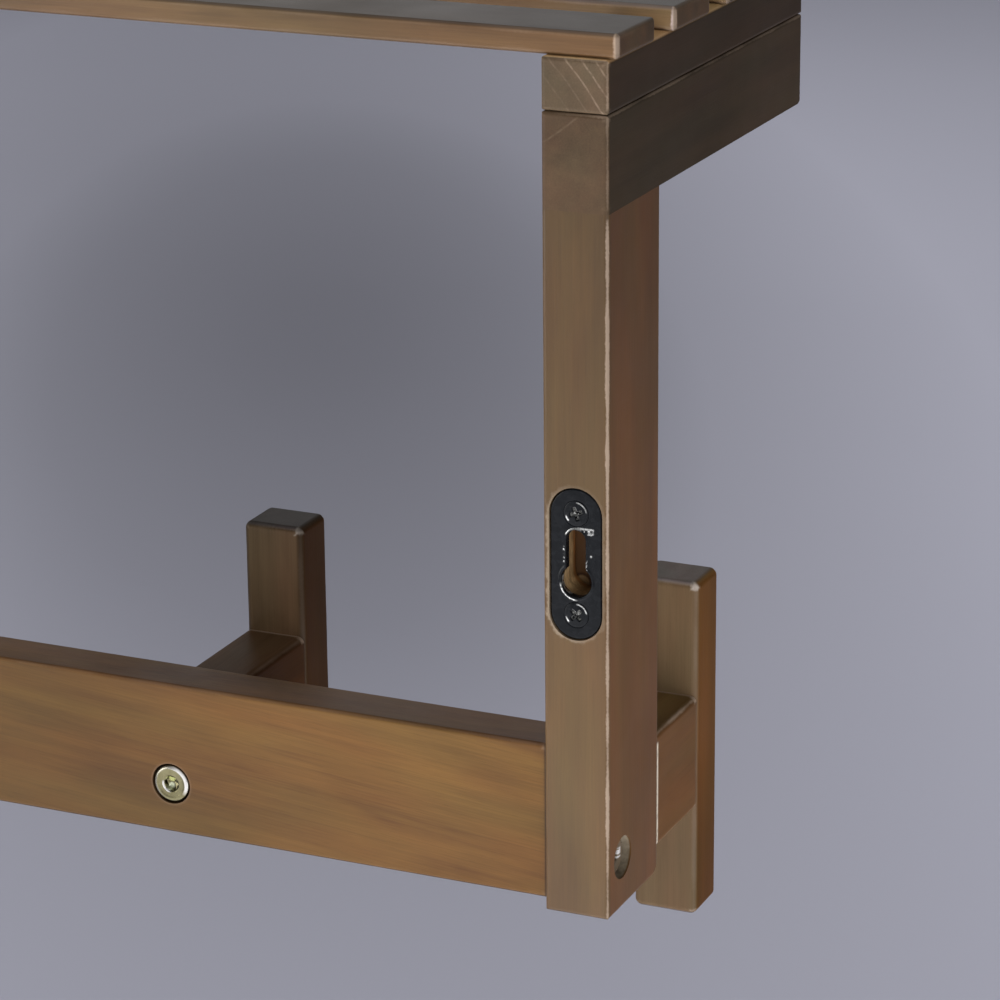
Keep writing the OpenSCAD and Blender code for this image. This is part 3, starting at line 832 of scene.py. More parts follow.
def rail_wood():
    """The rail between the posts, a row of one."""
    return stained_material(
        "rail_wood", "X", "rail", (2.0, 0.0, 0.0), tones("rail"), end=(0.7, 0.7, 0.7),
        pith=(0.0, 52.0, 96.0), tilt=(0.0, 0.09, 0.0), details=rail_details, specular=0.18, Ring_Width=11.0,
        Rings=0.25, Clouds=0.7, Fibres=0.34, Pores=0.16, Swing=0.0, Top=(0.93, 0.9, 1.3), Wear_Width=0.8,
        Wear_Edges=(0.12, 0.0, 0.0), Wear_Corners=0.2, Under=0.7, Gloss=0.42)


def slat_wood():
    """The slats, worn along their long edges, with darker, greyer tops as a painted sheen."""
    return stained_material(
        "slat_wood", "X", "slat_1", SLAT_STEP, tones("slat"), end=(0.75, 0.72, 0.70),
        pith=(0.0, 20.0, -180.0), details=slat_details, specular=0.31, Ring_Width=9.0, Rings=0.2, Clouds=0.6,
        Fibres=0.22, Pores=0.15, Swing=0.1, Top=(0.50, 0.53, 0.74), Wear_Width=1.4,
        Wear_Edges=(0.14, 0.12, 1.3), Wear_Corners=0.0, Wear_Foot=0.6, Wear_Inner=1.0, Under=0.4, Gloss=0.4)


def hook_wood(name, along, node, step, tint, **look):
    """Wood of the hooks' blocks or necks, its stain tones seen through a tint."""
    return stained_material(
        name, along, node, step, tones("hook", tint), pith=(0.0, 30.0, 60.0), Ring_Width=7.0, Rings=0.15,
        Pores=0.15, Fibres=0.2, Wear_Width=1.3, Wear_Corners=0.9, Wear_Inner=0.2, Under=0.6, Gloss=0.42,
        **look)


def dowel_wood():
    """Turned beech with its fine flecks."""
    material, bench, place, shader = new_material("beech_dowel", {SPECULAR: 0.3})
    grown = bench.group("wood grain", Place=place, Ring_Width=2.0, Rings=0.3, Clouds=0.4, Fibres=0.4)
    colour = bench.blend(grown["Tone"], (0.52, 0.34, 0.18), (0.76, 0.58, 0.38))
    paint(bench, shader, colour, bench.fit(grown["Fibre"], 0.3, 0.7, 0.5, 0.66), grown["Fibre"], 0.0001)
    return material


def metal(name, clean, soiled, smooth, rough, soil=0.5, bump=0.00002, paint_glints=None, **settings):
    """A handled metal; paint_glints, if given, paints in glints and paler places and returns colour and
    metallic share.
    """
    material, bench, place, shader = new_material(name, settings)
    surface = bench.group("handled metal", Place=place, Clean=clean, Soiled=soiled, Smooth=smooth,
                          Rough=rough, Soil=soil)
    colour, metallic = surface["Colour"], 1.0
    if paint_glints:
        colour, metallic = paint_glints(bench, place, colour)
    paint(bench, shader, colour, surface["Roughness"], surface["Height"], bump, Metallic=metallic)
    return material


def arc_mask(bench, local, centre, radius, width, toward=(0.0, 0.0), start=-1.0, end=-0.5):
    """Part of a ring, or a whole spot, on the wall side of a fitting; centre and direction are X and Z."""
    away = (local - (centre[0], 0.0, centre[1])) * (1.0, 0.0, 1.0)
    off = abs(bench.length(away) - radius)
    facing = bench.dot(bench.vector("NORMALIZE", away), (toward[0], 0.0, toward[1]))
    line = bench.fit(off, width, width * 0.3, smooth=True)
    return line * bench.fit(facing, start, end, smooth=True)


def box_mask(bench, local, low, high, soft=0.15):
    """Whether a place lies in an upright window, given its two corners as X and Z."""
    x, _, z = bench.split(local)
    mask = 1.0
    for value, first, last in ((x, low[0], high[0]), (z, low[1], high[1])):
        mask = mask * bench.fit(value, first - soft, first + soft)
        mask = mask * bench.fit(value, last + soft, last - soft)
    return mask


def plate_glints(bench, place):
    """Painted highlights: bright arcs under the entry and over the slot, and bright specks beside the slot.
    """
    local = nearest(bench, place, (PLATE_LEFT.x, 0.0, 0.0), PLATE_STEP)["Local"]
    entry, rise = ENTRY_R / MM, SLOT_RISE / MM
    sunk = bench.fit(PLATE_FACE / MM - bench.split(place)[1], 0.5, 0.9)
    specks = bench.fit(bench.noise(place, 0.7, 2.0, 0.6), 0.5, 0.58)
    return bench.most(
        0.0,
        arc_mask(bench, local, (-0.2, -0.6), entry + 0.3, 0.3, (0.68, -0.73), 0.66, 0.86),
        arc_mask(bench, local, (0.0, rise), 3.2, 0.26, (0.35, 0.94), 0.6, 0.82),
        arc_mask(bench, local, (0.0, 0.0), entry, 0.5, (0.9, -0.43), 0.7, 0.9) * sunk,
        arc_mask(bench, local, (-4.24, 7.4), 0.0, 0.42),
        box_mask(bench, local, (-5.0, rise + 3.2), (-0.4, rise + 3.5), 0.22),
        specks * box_mask(bench, local, (-5.0, rise + 1.6), (-2.2, rise + 3.3)),
        specks * box_mask(bench, local, (3.25, 4.4), (3.65, 9.4)),
        specks * box_mask(bench, local, (-3.2, 3.6), (-2.8, 6.4)))


def screw_glints(bench, place):
    """Painted highlights: bright arcs near the rim of a plate screw, and bright specks in its cross recess.
    """
    plate = nearest(bench, place, (PLATE_LEFT.x, 0.0, 0.0), PLATE_STEP)
    local = nearest(bench, plate["Local"], (0.0, 0.0, SCREW_ZS[0]), (0.0, 0.0, -SCREW_GAP))["Local"]
    sunk = span("plate_screws")[1].y / MM - bench.split(place)[1]
    specks = bench.fit(bench.noise(place, 0.8, 1.0), 0.42, 0.52)
    return bench.most(arc_mask(bench, local, (0.0, 0.0), 3.0, 0.24, (-0.66, 0.75), 0.72, 0.9),
                      arc_mask(bench, local, (0.0, 0.0), 2.9, 0.3, (0.85, -0.5), 0.93, 0.98),
                      bench.fit(sunk, 0.15, 0.5) * specks)


def black_steel(name, find_glints):
    """Black finish on steel, with painted glints blended in as bright steel."""
    def add_glints(bench, place, colour):
        """Blends the glints in, broken by noise."""
        broken = bench.fit(bench.noise(place, 0.9, 2.0, 0.6), 0.36, 0.56, 0.25, 1.0)
        glints = bench.math("MULTIPLY", find_glints(bench, place), broken, clamp=True)
        return bench.blend(glints, colour, (0.62, 0.62, 0.60)), glints

    return metal(name, (0.0030, 0.0038, 0.0052), (0.009, 0.0102, 0.0125), 0.2, 0.34, 0.7, 0.00003, add_glints,
                 **{SPECULAR: 0.11})


ON_HEAD = 2.6  # millimetres from a bolt's top that count as its head
BOLTS_PART = 190.0  # millimetres from the middle: hook bolts lie within, the rail's bolts beyond


def hook_bolt_glints(bench, place):
    """Painted highlights on the hook bolts: crescents on rim and socket, two lit flats in the socket and a
    faint crescent.
    """
    hook = nearest(bench, place, (0.0, 0.0, 0.0), HOOK_STEP)
    low, high = span("hook_bolts")
    local = hook["Local"] - (0.0, 0.0, (low.z + high.z) / 2 / MM)
    on_head = bench.split(place)[1] > high.y / MM - ON_HEAD
    rim = arc_mask(bench, local, (0.0, 0.0), 4.85, 0.62, (-0.86, 0.51), 0.3, 0.95)
    socket = arc_mask(bench, local, (0.0, 0.0), 2.55, 0.34, (0.82, -0.57), 0.55, 0.95)
    deep = arc_mask(bench, local, (0.7, -1.25), 0.0, 1.15)
    flat = arc_mask(bench, local, (0.6, 1.0), 0.0, 1.3)
    faint = arc_mask(bench, local, (0.0, 0.0), 4.9, 0.6, (0.9, 0.44), -0.2, 0.6) * 0.28
    return [mark * on_head for mark in (bench.most(rim, socket * 0.85), deep, flat, faint)]


def rail_bolt_glints(bench, place):
    """On the rail bolts, deep in their counterbores: a painted glint, and the rest of the head painted a flat
    brown.
    """
    x, y, z = bench.split(place)
    low, high = span("rail_bolts")
    on_head = high.x / MM - abs(x) < ON_HEAD
    off_y = y - (low.y + high.y) / 2 / MM
    off_z = z - (low.z + high.z) / 2 / MM
    bar = bench.fit(abs(off_y + 2.0), 1.7, 1.2) * bench.fit(abs(off_z), 1.6, 1.25)
    gap = bench.fit(abs(off_z + 0.7), 0.15, 0.4)
    notch = bench.fit(abs(off_z - 1.0) + (off_y + 2.0) * -0.35, 0.2, 0.45)
    return bar * on_head * (gap * notch), on_head * 0.85


def bolt_head_glints(bench, place, colour):
    """Painted glints and paler, less metallic places on the bolts' heads."""
    near_ends = abs(bench.split(place)[0]) > BOLTS_PART
    middle_bolts = 1.0 - near_ends
    white, deep, flat, faint = [mark * middle_bolts for mark in hook_bolt_glints(bench, place)]
    bright, deep_in_bore = [mark * near_ends for mark in rail_bolt_glints(bench, place)]
    metallic = 1.0
    for mark, tone in ((deep_in_bore, (0.17, 0.125, 0.085)), (faint, (0.48, 0.46, 0.43)), (flat, (0.52, 0.54, 0.16)),
                       (deep, (0.95, 1.0, 0.72)), (bench.most(white, bright), (0.66, 0.64, 0.63))):
        colour = bench.blend(mark, colour, tone)
        metallic = metallic * (1.0 - mark)
    return colour, metallic


def zinc_steel(name="zinc_steel", paint_glints=None):
    """Zinc-plated steel with a yellow cast."""
    return metal(name, (0.13, 0.118, 0.066), (0.092, 0.078, 0.038), 0.17, 0.3, paint_glints=paint_glints)


def insert_brass():
    """Brass of the threaded inserts."""
    return metal("insert_brass", (0.72, 0.55, 0.25), (0.45, 0.30, 0.12), 0.25, 0.42)


# Meshes ---------------------------------------------------------------------------------------

def heavy_normals(mesh):
    """Smooth shading whose normals lean to the large faces, so that flat faces stay flat."""
    count = len(mesh.vertices)
    normals = np.zeros((count, 3))
    for polygon in mesh.polygons:
        push = np.array(polygon.normal) * polygon.area
        for vertex in polygon.vertices:
            normals[vertex] += push
    lengths = np.linalg.norm(normals, axis=1)
    lengths[lengths == 0] = 1
    mesh.shade_smooth()
    mesh.normals_split_custom_set_from_vertices([tuple(row) for row in normals / lengths[:, None]])


MERGE = 1e-7  # vertices closer than this become one


def close_mesh(mesh):
    """Merges doubles and turns all faces outwards."""
    bm = bmesh.new()
    bm.from_mesh(mesh)
    bmesh.ops.remove_doubles(bm, verts=bm.verts, dist=MERGE)
    bmesh.ops.dissolve_degenerate(bm, edges=bm.edges, dist=MERGE)
    bmesh.ops.recalc_face_normals(bm, faces=bm.faces)
    bm.to_mesh(mesh)
    bm.free()


def put_in_scene(name, data):
    """A new object of a mesh, a lamp or a camera."""
    piece = bpy.data.objects.new(name, data)
    bpy.context.scene.collection.objects.link(piece)
    return piece


def grow(name, tree_name, seed_mesh, material, values):
    """Runs a Geometry Nodes tree on a mesh and keeps its result as a plain mesh."""
    tree = node_group(tree_name)
    source = put_in_scene(name + ".source", seed_mesh)
    modifier = source.modifiers.new("grow", "NODES")
    modifier.node_group = tree
    by_name = {item.name: item.identifier for item in tree.interface.items_tree
               if getattr(item, "in_out", None) == "INPUT"}
    for key, value in dict(values, Material=material).items():
        several = isinstance(value, (Vector, tuple))
        modifier[by_name[key]] = [float(number) for number in value] if several else value
    bpy.context.view_layer.update()
    evaluated = source.evaluated_get(bpy.context.evaluated_depsgraph_get())
    mesh = bpy.data.meshes.new_from_object(evaluated)
    mesh.name = name
    source.modifiers.clear()
    bpy.data.objects.remove(source, do_unlink=True)
    if not mesh.polygons:
        raise RuntimeError(f"{name} came out empty")
    mesh.materials.clear()
    mesh.materials.append(material)
    for attribute in [a.name for a in mesh.attributes if a.name.startswith("bar_")]:
        mesh.attributes.remove(mesh.attributes[attribute])
    close_mesh(mesh)
    heavy_normals(mesh)
    return put_in_scene(name, mesh)


def joined(name, pieces):
    """One piece out of several of the same material."""
    mesh = bpy.data.meshes.new(name)
    bm = bmesh.new()
    for piece in pieces:
        bm.from_mesh(piece.data)
    bm.to_mesh(mesh)
    bm.free()
    mesh.materials.append(pieces[0].data.materials[0])
    heavy_normals(mesh)
    for piece in pieces:
        bpy.data.objects.remove(piece, do_unlink=True)
    return put_in_scene(name, mesh)


def finish_piece(piece, slot, *replaced):
    """Hands a finished piece to the frame."""
    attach(piece, BODY)
    if replaced:
        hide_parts(*replaced)


# Geometry Nodes: a row of rounded bars --------------------------------------------------------

EDGE_CUTS = 4  # rows of faces round an edge


def placed_copies(bench, shape, points, **settings):
    """Real copies of a shape on points."""
    inputs = {"Points": points, "Instance": shape, **settings}
    return bench.add("GeometryNodeRealizeInstances", {0: bench.add("GeometryNodeInstanceOnPoints", inputs)})


def line_of_points(bench, count, step, start=(0.0, 0.0, 0.0)):
    """Points at equal steps."""
    return bench.add("GeometryNodeMeshLine", {"Count": count, "Start Location": start, "Offset": step},
                     mode="OFFSET")


def attribute(bench, name, kind="FLOAT"):
    """A value that was stored on the mesh under a name."""
    return bench.out("GeometryNodeInputNamedAttribute", {"Name": name}, data_type=kind)


def build_bar_row():
    """A row of bars with rounded, unevenly sanded edges."""
    bench, given, give = new_tree(
        "row of rounded bars", "GeometryNodeTree",
        {"Geometry": "mesh", "Size": (0.1, 0.02, 0.02), "Corner Radius": 0.002, "Cuts": (20.0, 10.0, 10.0),
         "First": "vector", "Step": (0.1, 0.0, 0.0), "Count": ("whole", 3), "Wear": 0.001, "Wear Patch": 0.02,
         "Seed": 1.0, "Material": "material"},
        {"Geometry": "mesh"})
    nought, one = (0.0, 0.0, 0.0), (1.0, 1.0, 1.0)
    cut_x, cut_y, cut_z = bench.split(given["Cuts"])
    block = bench.add("GeometryNodeMeshCube", {
        "Size": given["Size"], "Vertices X": cut_x, "Vertices Y": cut_y, "Vertices Z": cut_z})
    position = bench.out("GeometryNodeInputPosition")
    half = given["Size"] * 0.5
    share = position / half
    side, reach = bench.vector("SIGN", share), abs(share)
    start = one - (2.0 * EDGE_CUTS,) * 3 / (given["Cuts"] - one)

    def vector_fit(value, from_low, from_high, to_high):
        """A vector brought, component by component, to a range from nought on."""
        node = bench.add("ShaderNodeMapRange", data_type="FLOAT_VECTOR", clamp=True)
        sockets = [socket for socket in node.inputs if socket.type == "VECTOR"]
        for socket, item in zip(sockets, (value, from_low, from_high, nought, to_high)):
            bench.feed(socket, item)
        return Value(bench, [socket for socket in node.outputs if socket.type == "VECTOR"][0])

    # Past the start of the rounding, the rows of faces lean outwards step by step.
    core = vector_fit(reach, nought, start, half - bench.spread(given["Corner Radius"]))
    lean = bench.vector("NORMALIZE", vector_fit(reach, start, one, one))
    outward = side * lean
    rounded = side * core + outward * given["Corner Radius"]
    x, y, z = bench.split(lean)
    on_edge = 1.0 - bench.most(x, bench.most(y, z))
    shape = block
    for name, value, kind in (("bar_outward", outward, "FLOAT_VECTOR"), ("bar_edge", on_edge, "FLOAT")):
        shape = bench.add("GeometryNodeStoreNamedAttribute",
                          {"Geometry": shape, "Name": name, "Value": value}, data_type=kind, domain="POINT")
    shape = bench.add("GeometryNodeSetPosition", {"Geometry": shape, "Position": rounded})
    row = placed_copies(bench, shape, line_of_points(bench, given["Count"], given["Step"], given["First"]))
    shifted = position + bench.spread(given["Seed"])
    patches = bench.noise(shifted, bench.spread(given["Wear Patch"]), 2.0, 0.6)
    uneven = bench.fit(patches, 0.35, 0.65, 0.15, 1.0)
    depth = attribute(bench, "bar_edge") * given["Wear"] * uneven
    offset = attribute(bench, "bar_outward", "FLOAT_VECTOR") * (depth * -1.0)
    sanded = bench.add("GeometryNodeSetPosition", {"Geometry": row, "Offset": offset})
    return give({"Geometry": bench.add("GeometryNodeSetMaterial", {
        "Geometry": sanded, "Material": given["Material"]})})


# Geometry Nodes: turned fasteners -------------------------------------------------------------

def build_fasteners():
    """Turned fasteners: a profile swept round, with its driver socket cut, in rows and columns."""
    bench, given, give = new_tree(
        "turned fasteners", "GeometryNodeTree",
        {"Geometry": "mesh", "Sides": ("whole", 72), "Cross Recess": ("choice", False), "Wing Share": 0.3,
         "Lean": "vector", "First": "vector", "Step": (0.1, 0.0, 0.0), "Count": ("whole", 2),
         "Row Step": (0.0, 0.0, 0.1), "Rows": ("whole", 1), "Turn": 0.0, "Turn Step": 0.4,
         "Material": "material"},
        {"Geometry": "mesh"})
    profile = bench.add("GeometryNodeMeshToCurve", {0: given["Geometry"]})
    ring = bench.add("GeometryNodeCurvePrimitiveCircle", {"Resolution": given["Sides"], "Radius": 1e-6})
    turned = bench.add("GeometryNodeCurveToMesh", {"Curve": ring, "Profile Curve": profile})
    x, y, z = bench.split(bench.out("GeometryNodeInputPosition"))
    angle = bench.math("ARCTAN2", y, x)

    def from_wing(parts):
        """The angle from the nearest of equal parts of a turn."""
        wide = TURN / parts
        return bench.math("WRAP", angle, wide / 2, -wide / 2)

    hexagon = 1.0 / bench.math("COSINE", from_wing(6))
    slope = bench.most(abs(bench.math("SINE", from_wing(4))), 0.001)
    cross = bench.math("MINIMUM", 1.0, given["Wing Share"] / slope)
    cut = bench.out("GeometryNodeSwitch", {"Switch": given["Cross Recess"], "False": hexagon, "True": cross},
                    input_type="FLOAT")
    factor = 1.0 + attribute(bench, "bar_socket") * (cut - 1.0)
    shaped = bench.add("GeometryNodeSetPosition", {
        "Geometry": turned, "Position": bench.join(x * factor, y * factor, z)})
    column = line_of_points(bench, given["Count"], given["Step"], given["First"])
    points = placed_copies(bench, line_of_points(bench, given["Rows"], given["Row Step"]), column)
    turn = given["Turn"] + bench.out("GeometryNodeInputIndex") * given["Turn Step"]
    spin = bench.add("FunctionNodeEulerToRotation", {0: bench.join(0.0, 0.0, turn)})
    tilt = bench.add("FunctionNodeEulerToRotation", {0: given["Lean"]})
    both = bench.add("FunctionNodeRotateRotation", {"Rotation": tilt, "Rotate By": spin},
                     rotation_space="LOCAL")
    placed = placed_copies(bench, shaped, points, Rotation=both)
    return give({"Geometry": bench.add("GeometryNodeSetMaterial", {
        "Geometry": placed, "Material": given["Material"]})})


GROUP_BUILDERS = {
    "nearest of a row": build_row_place, "edge wear": build_edge_wear_and_highlight, "wood grain": build_grain,
    "drilled hole": build_drilled, "stained wood": build_stained_wood, "handled metal": build_handled_metal,
    "row of rounded bars": build_bar_row, "turned fasteners": build_fasteners,
}


def profile_mesh(name, points):
    """A turned profile as a line of edges, from points with radius, height and share of the driver socket."""
    mesh = bpy.data.meshes.new(name)
    places = [(-radius * MM, -height * MM, 0.0) for radius, height, _ in points]
    mesh.from_pydata(places, [(i, i + 1) for i in range(len(points) - 1)], [])
    share = mesh.attributes.new("bar_socket", "FLOAT", "POINT")
    share.data.foreach_set("value", [float(point[2]) for point in points])
    return mesh


def arc(radius, centre, start, end, cuts):
    """Points of an arc in a profile, its angles in degrees."""
    angles = [math.radians(start + (end - start) * i / cuts) for i in range(cuts + 1)]
    return [(centre[0] + radius * math.cos(a), centre[1] + radius * math.sin(a), 0.0) for a in angles]


def plain(*points):
    """Points of a profile where the driver socket takes no part."""
    return [(radius, height, 0.0) for radius, height in points]


def bolt_profile(head_d, socket_w, length, pitch=1.0, outer=2.95, inner=2.55):
    """A socket bolt from the middle of its socket to the tip of its shank, head up."""
    rim, flat, foot = head_d / 2, socket_w / 2, -BOLT_HEAD_H
    points = [(0.0, -2.35, 0.0), (flat * 0.45, -2.15, 0.6), (flat * 0.98, -1.95, 1.0), (flat, -1.5, 1.0),
              (flat, -0.62, 1.0), (flat, -0.5, 1.0), (flat * 1.16, -0.34, 0.35), (flat * 1.22, -0.22, 0.1)]
    points += plain((flat * 1.3, -0.14), (rim - 1.9, -0.14), (rim - 1.55, -0.05))
    points += arc(1.15, (rim - 1.15, -1.15), 90, 0, 9)
    points += plain((rim, -1.4), (rim, foot + 0.4), (rim - 0.12, foot + 0.12), (rim - 0.4, foot), (3.1, foot),
                    (outer, foot - 0.2))
    for i in range(int((length - 2.0) / pitch)):
        down = foot - pitch - pitch * i
        points += plain((outer, down), (inner, down - pitch / 2))
    points += plain((2.5, foot - length + 0.5), (2.0, foot - length), (0.0, foot - length))
    return points


def screw_profile(head_d, length, cross=4.0, dome=0.24, thread=3.4, pitch=1.4, cuts=5):
    """A countersunk screw with a low dome and a cross recess, head up."""
    rim, reach, shank = head_d / 2, cross / 2, thread / 2
    points = [(0.0, dome - 1.75, 0.0), (reach * 0.34, dome - 1.6, 1.0), (reach * 0.62, dome - 1.2, 1.0),
              (reach * 0.84, dome - 0.6, 1.0), (reach * 0.98, dome - 0.14, 1.0),
              (reach * 1.06, dome - 0.05, 0.96)]
    for i in range(cuts + 1):
        across = reach * 1.2 + (rim - 0.12 - reach * 1.2) * i / cuts
        points.append((across, dome * (1 - (across / rim) ** 2) - 0.02, 0.0 if i else 0.35))
    points += plain((rim - 0.02, -0.07), (rim, -0.22), (rim - 0.1, -0.42), (shank + 0.25, -rim + shank - 0.1))
    deep = -rim + shank - 0.5
    for i in range(int((length + deep - 2.0) / pitch)):
        points += plain((shank, deep - pitch * i), (shank - 0.45, deep - pitch * i - pitch / 2))
    points += plain((shank - 0.5, -length + 1.8), (0.0, -length))
    return points


# The keyhole plates ---------------------------------------------------------------------------

def stadium(inset, height, cuts=28):
    """The plate's outline, moved inwards, as places in millimetres from its middle."""
    radius, run = PLATE_R / MM - inset, PLATE_RUN / MM
    places = []
    for middle_z, start in ((run, 0.0), (-run, math.pi)):
        for i in range(cuts + 1):
            angle = start + math.pi * i / cuts
            places.append((radius * math.cos(angle), height, middle_z + radius * math.sin(angle)))
    return places


def keyhole(grown, height, collar, cuts=44, side_cuts=9, top_cuts=20):
    """The keyhole's outline round its entry, grown by a share of the collar, which narrows up the slot."""
    entry = ENTRY_R / MM + collar * grown
    half = SLOT_R / MM + 0.58 * collar * grown
    rise = SLOT_RISE / MM
    corner = math.asin(half / entry)
    foot = entry * math.cos(corner)
    places = []
    for i in range(cuts + 1):
        angle = corner + (TURN - 2 * corner) * i / cuts
        places.append((entry * math.sin(angle), height, entry * math.cos(angle)))
    side = [foot + (rise - foot) * i / side_cuts for i in range(1, side_cuts)]
    places += [(-half, height, z) for z in side]
    for i in range(top_cuts + 1):
        angle = math.pi - math.pi * i / top_cuts
        places.append((half * math.cos(angle), height, rise + half * math.sin(angle)))
    places += [(half, height, z) for z in reversed(side)]
    return places


def seat(radius, height, z, cuts=40):
    """A circle of a screw's seat."""
    return [(radius * math.cos(TURN * i / cuts), height, z + radius * math.sin(TURN * i / cuts))
            for i in range(cuts)]


def add_strip(bm, place, loops):
    """Faces between loops of places in millimetres; returns the first and the last loop."""
    rows = [[bm.verts.new(((place.x / MM + x) * MM, (place.y / MM + y) * MM, (place.z / MM + z) * MM))
             for x, y, z in loop] for loop in loops]
    for first, second in zip(rows, rows[1:]):
        for i, vert in enumerate(first):
            after = (i + 1) % len(first)
            bm.faces.new((vert, first[after], second[after], second[i]))
    return rows[0], rows[-1]


def plate_mesh(name, collar, rim, places):
    """Keyhole plates with a rounded rim, a pressed collar round the keyhole and countersunk seats."""
    bm = bmesh.new()
    back = -PLATE_THICK
    centre_z = PLATE_LEFT.z / MM
    rim_steps = [(rim - rim * math.sin(math.radians(angle)), rim * math.cos(math.radians(angle)) - rim)
                 for angle in range(0, 91, 18)] + [(0.0, back + 0.2), (0.2, back)]
    collar_steps = ((1.0, 0.0), (0.86, 0.05), (0.66, 0.17), (0.44, 0.22), (0.22, 0.16), (0.07, -0.02),
                    (0.0, -0.28), (0.0, back + 0.15), (0.06, back))
    seat_steps = ((3.72, 0.0), (3.62, -0.05), (3.5, -0.2), (2.2, -1.5), (2.0, -1.75), (2.0, back))
    outline = [[(x, y, z + centre_z) for x, y, z in stadium(inset, height)] for inset, height in rim_steps]
    hole = [keyhole(grown, height, collar) for grown, height in collar_steps]
    seats = [[seat(radius, height, z / MM) for radius, height in seat_steps] for z in SCREW_ZS]
    for place in places:
        ends = [add_strip(bm, place, loops) for loops in (outline, hole, *seats)]
        for side in (0, 1):
            edges = []
            for loop in (rows[side] for rows in ends):
                for pair in zip(loop, loop[1:] + loop[:1]):
                    edges.append(bm.edges.get(pair) or bm.edges.new(pair))
            bmesh.ops.triangle_fill(bm, use_beauty=True, use_dissolve=False, edges=edges)
    bmesh.ops.recalc_face_normals(bm, faces=bm.faces)
    mesh = bpy.data.meshes.new(name)
    bm.to_mesh(mesh)
    bm.free()
    return mesh


# Operators ------------------------------------------------------------------------------------

def dress(material, *names):
    """Gives a carried-over CAD node its material."""
    for name in names:
        slots = NODES[name].material_slots
        if not slots:
            raise RuntimeError(f"{name} has no material slot")
        for slot in slots:
            slot.material = material


class WALLSHELF_OT_frame_woods(bpy.types.Operator):
    """Gives the posts, arms, bearers, rail and hook necks their stained woods"""
    bl_idname = "wall_shelf.frame_woods"
    bl_label = "Stain the frame"

    def execute(self, context):
        dress(post_wood(), "post_left", "post_right")
        dress(arm_wood(), "arm_left", "arm_right")
        dress(bearer_wood(), "bearer_left", "bearer_right")
        dress(rail_wood(), "rail")
        # The rail's necks are the hook wood tinted far darker, a painted shade where the posts shade them;
        # the necks at the posts are tinted lighter.
        necks = {"end": (0.8, 0.8, 0.8), "Clouds": 0.45}
        dress(hook_wood("rail_neck_wood", "Y", "hook_neck_2", HOOK_STEP, (0.46, 0.30, 0.12),
                        details=neck_details(False), Swing=0.2, Top=(1.95, 2.95, 8.2), specular=0.05,
                        Wear_Edges=(0.4, 0.2, 0.05), **necks), *NECK_NAMES[1:4])
        dress(hook_wood("post_neck_wood", "Y", "hook_neck_1", HOOK_STEP * 4, (1.20, 0.92, 0.53),
                        details=neck_details(True), Swing=0.1, Top=(1.15, 1.5, 2.1), specular=0.14,
                        Wear_Edges=(0.5, 1.1, 0.15), **necks), NECK_NAMES[0], NECK_NAMES[4])
        return {"FINISHED"}


class WALLSHELF_OT_slats(bpy.types.Operator):
    """Makes the row of slats"""
    bl_idname = "wall_shelf.slats"
    bl_label = "Make the slats"

    def execute(self, context):
        sizes = context.scene.wall_shelf.slats
        piece = grow("slats", "row of rounded bars", bpy.data.meshes.new("slat seed"), slat_wood(), {
            "Size": (sizes.length, sizes.width, sizes.thickness), "Corner Radius": sizes.corner,
            "Cuts": (121.0, 14.0, 11.0), "First": middle("slat_1"), "Step": SLAT_STEP,
            "Count": sizes.count, "Wear": sizes.wear, "Wear Patch": 0.012, "Seed": 3.0})
        finish_piece(piece, "slat_wood", *SLAT_NAMES)
        return {"FINISHED"}


class WALLSHELF_OT_hook_blocks(bpy.types.Operator):
    """Makes the row of upright hook blocks"""
    bl_idname = "wall_shelf.hook_blocks"
    bl_label = "Make the hook blocks"

    def execute(self, context):
        sizes = context.scene.wall_shelf.hooks
        # Swing darkens some blocks, the second most, as painted shade; the grey end tint on the tops is a
        # painted sheen.
        wood = hook_wood("block_wood", "Z", "hook_block_1", HOOK_STEP, (1.0, 1.0, 1.0), end=(1.12, 1.5, 2.75),
                         details=block_details, Swing=0.38, Clouds=0.38, specular=0.07,
                         Wear_Edges=(0.5, 0.25, 0.12))
        piece = grow("hook_blocks", "row of rounded bars", bpy.data.meshes.new("block seed"), wood, {
            "Size": (sizes.width, sizes.depth, sizes.height), "Corner Radius": sizes.corner,
            "Cuts": (13.0, 13.0, 41.0), "First": middle("hook_block_1"), "Step": HOOK_STEP,
            "Count": sizes.count, "Wear": sizes.wear, "Wear Patch": 0.011, "Seed": 7.0})
        finish_piece(piece, "hook_wood", *BLOCK_NAMES)
        return {"FINISHED"}


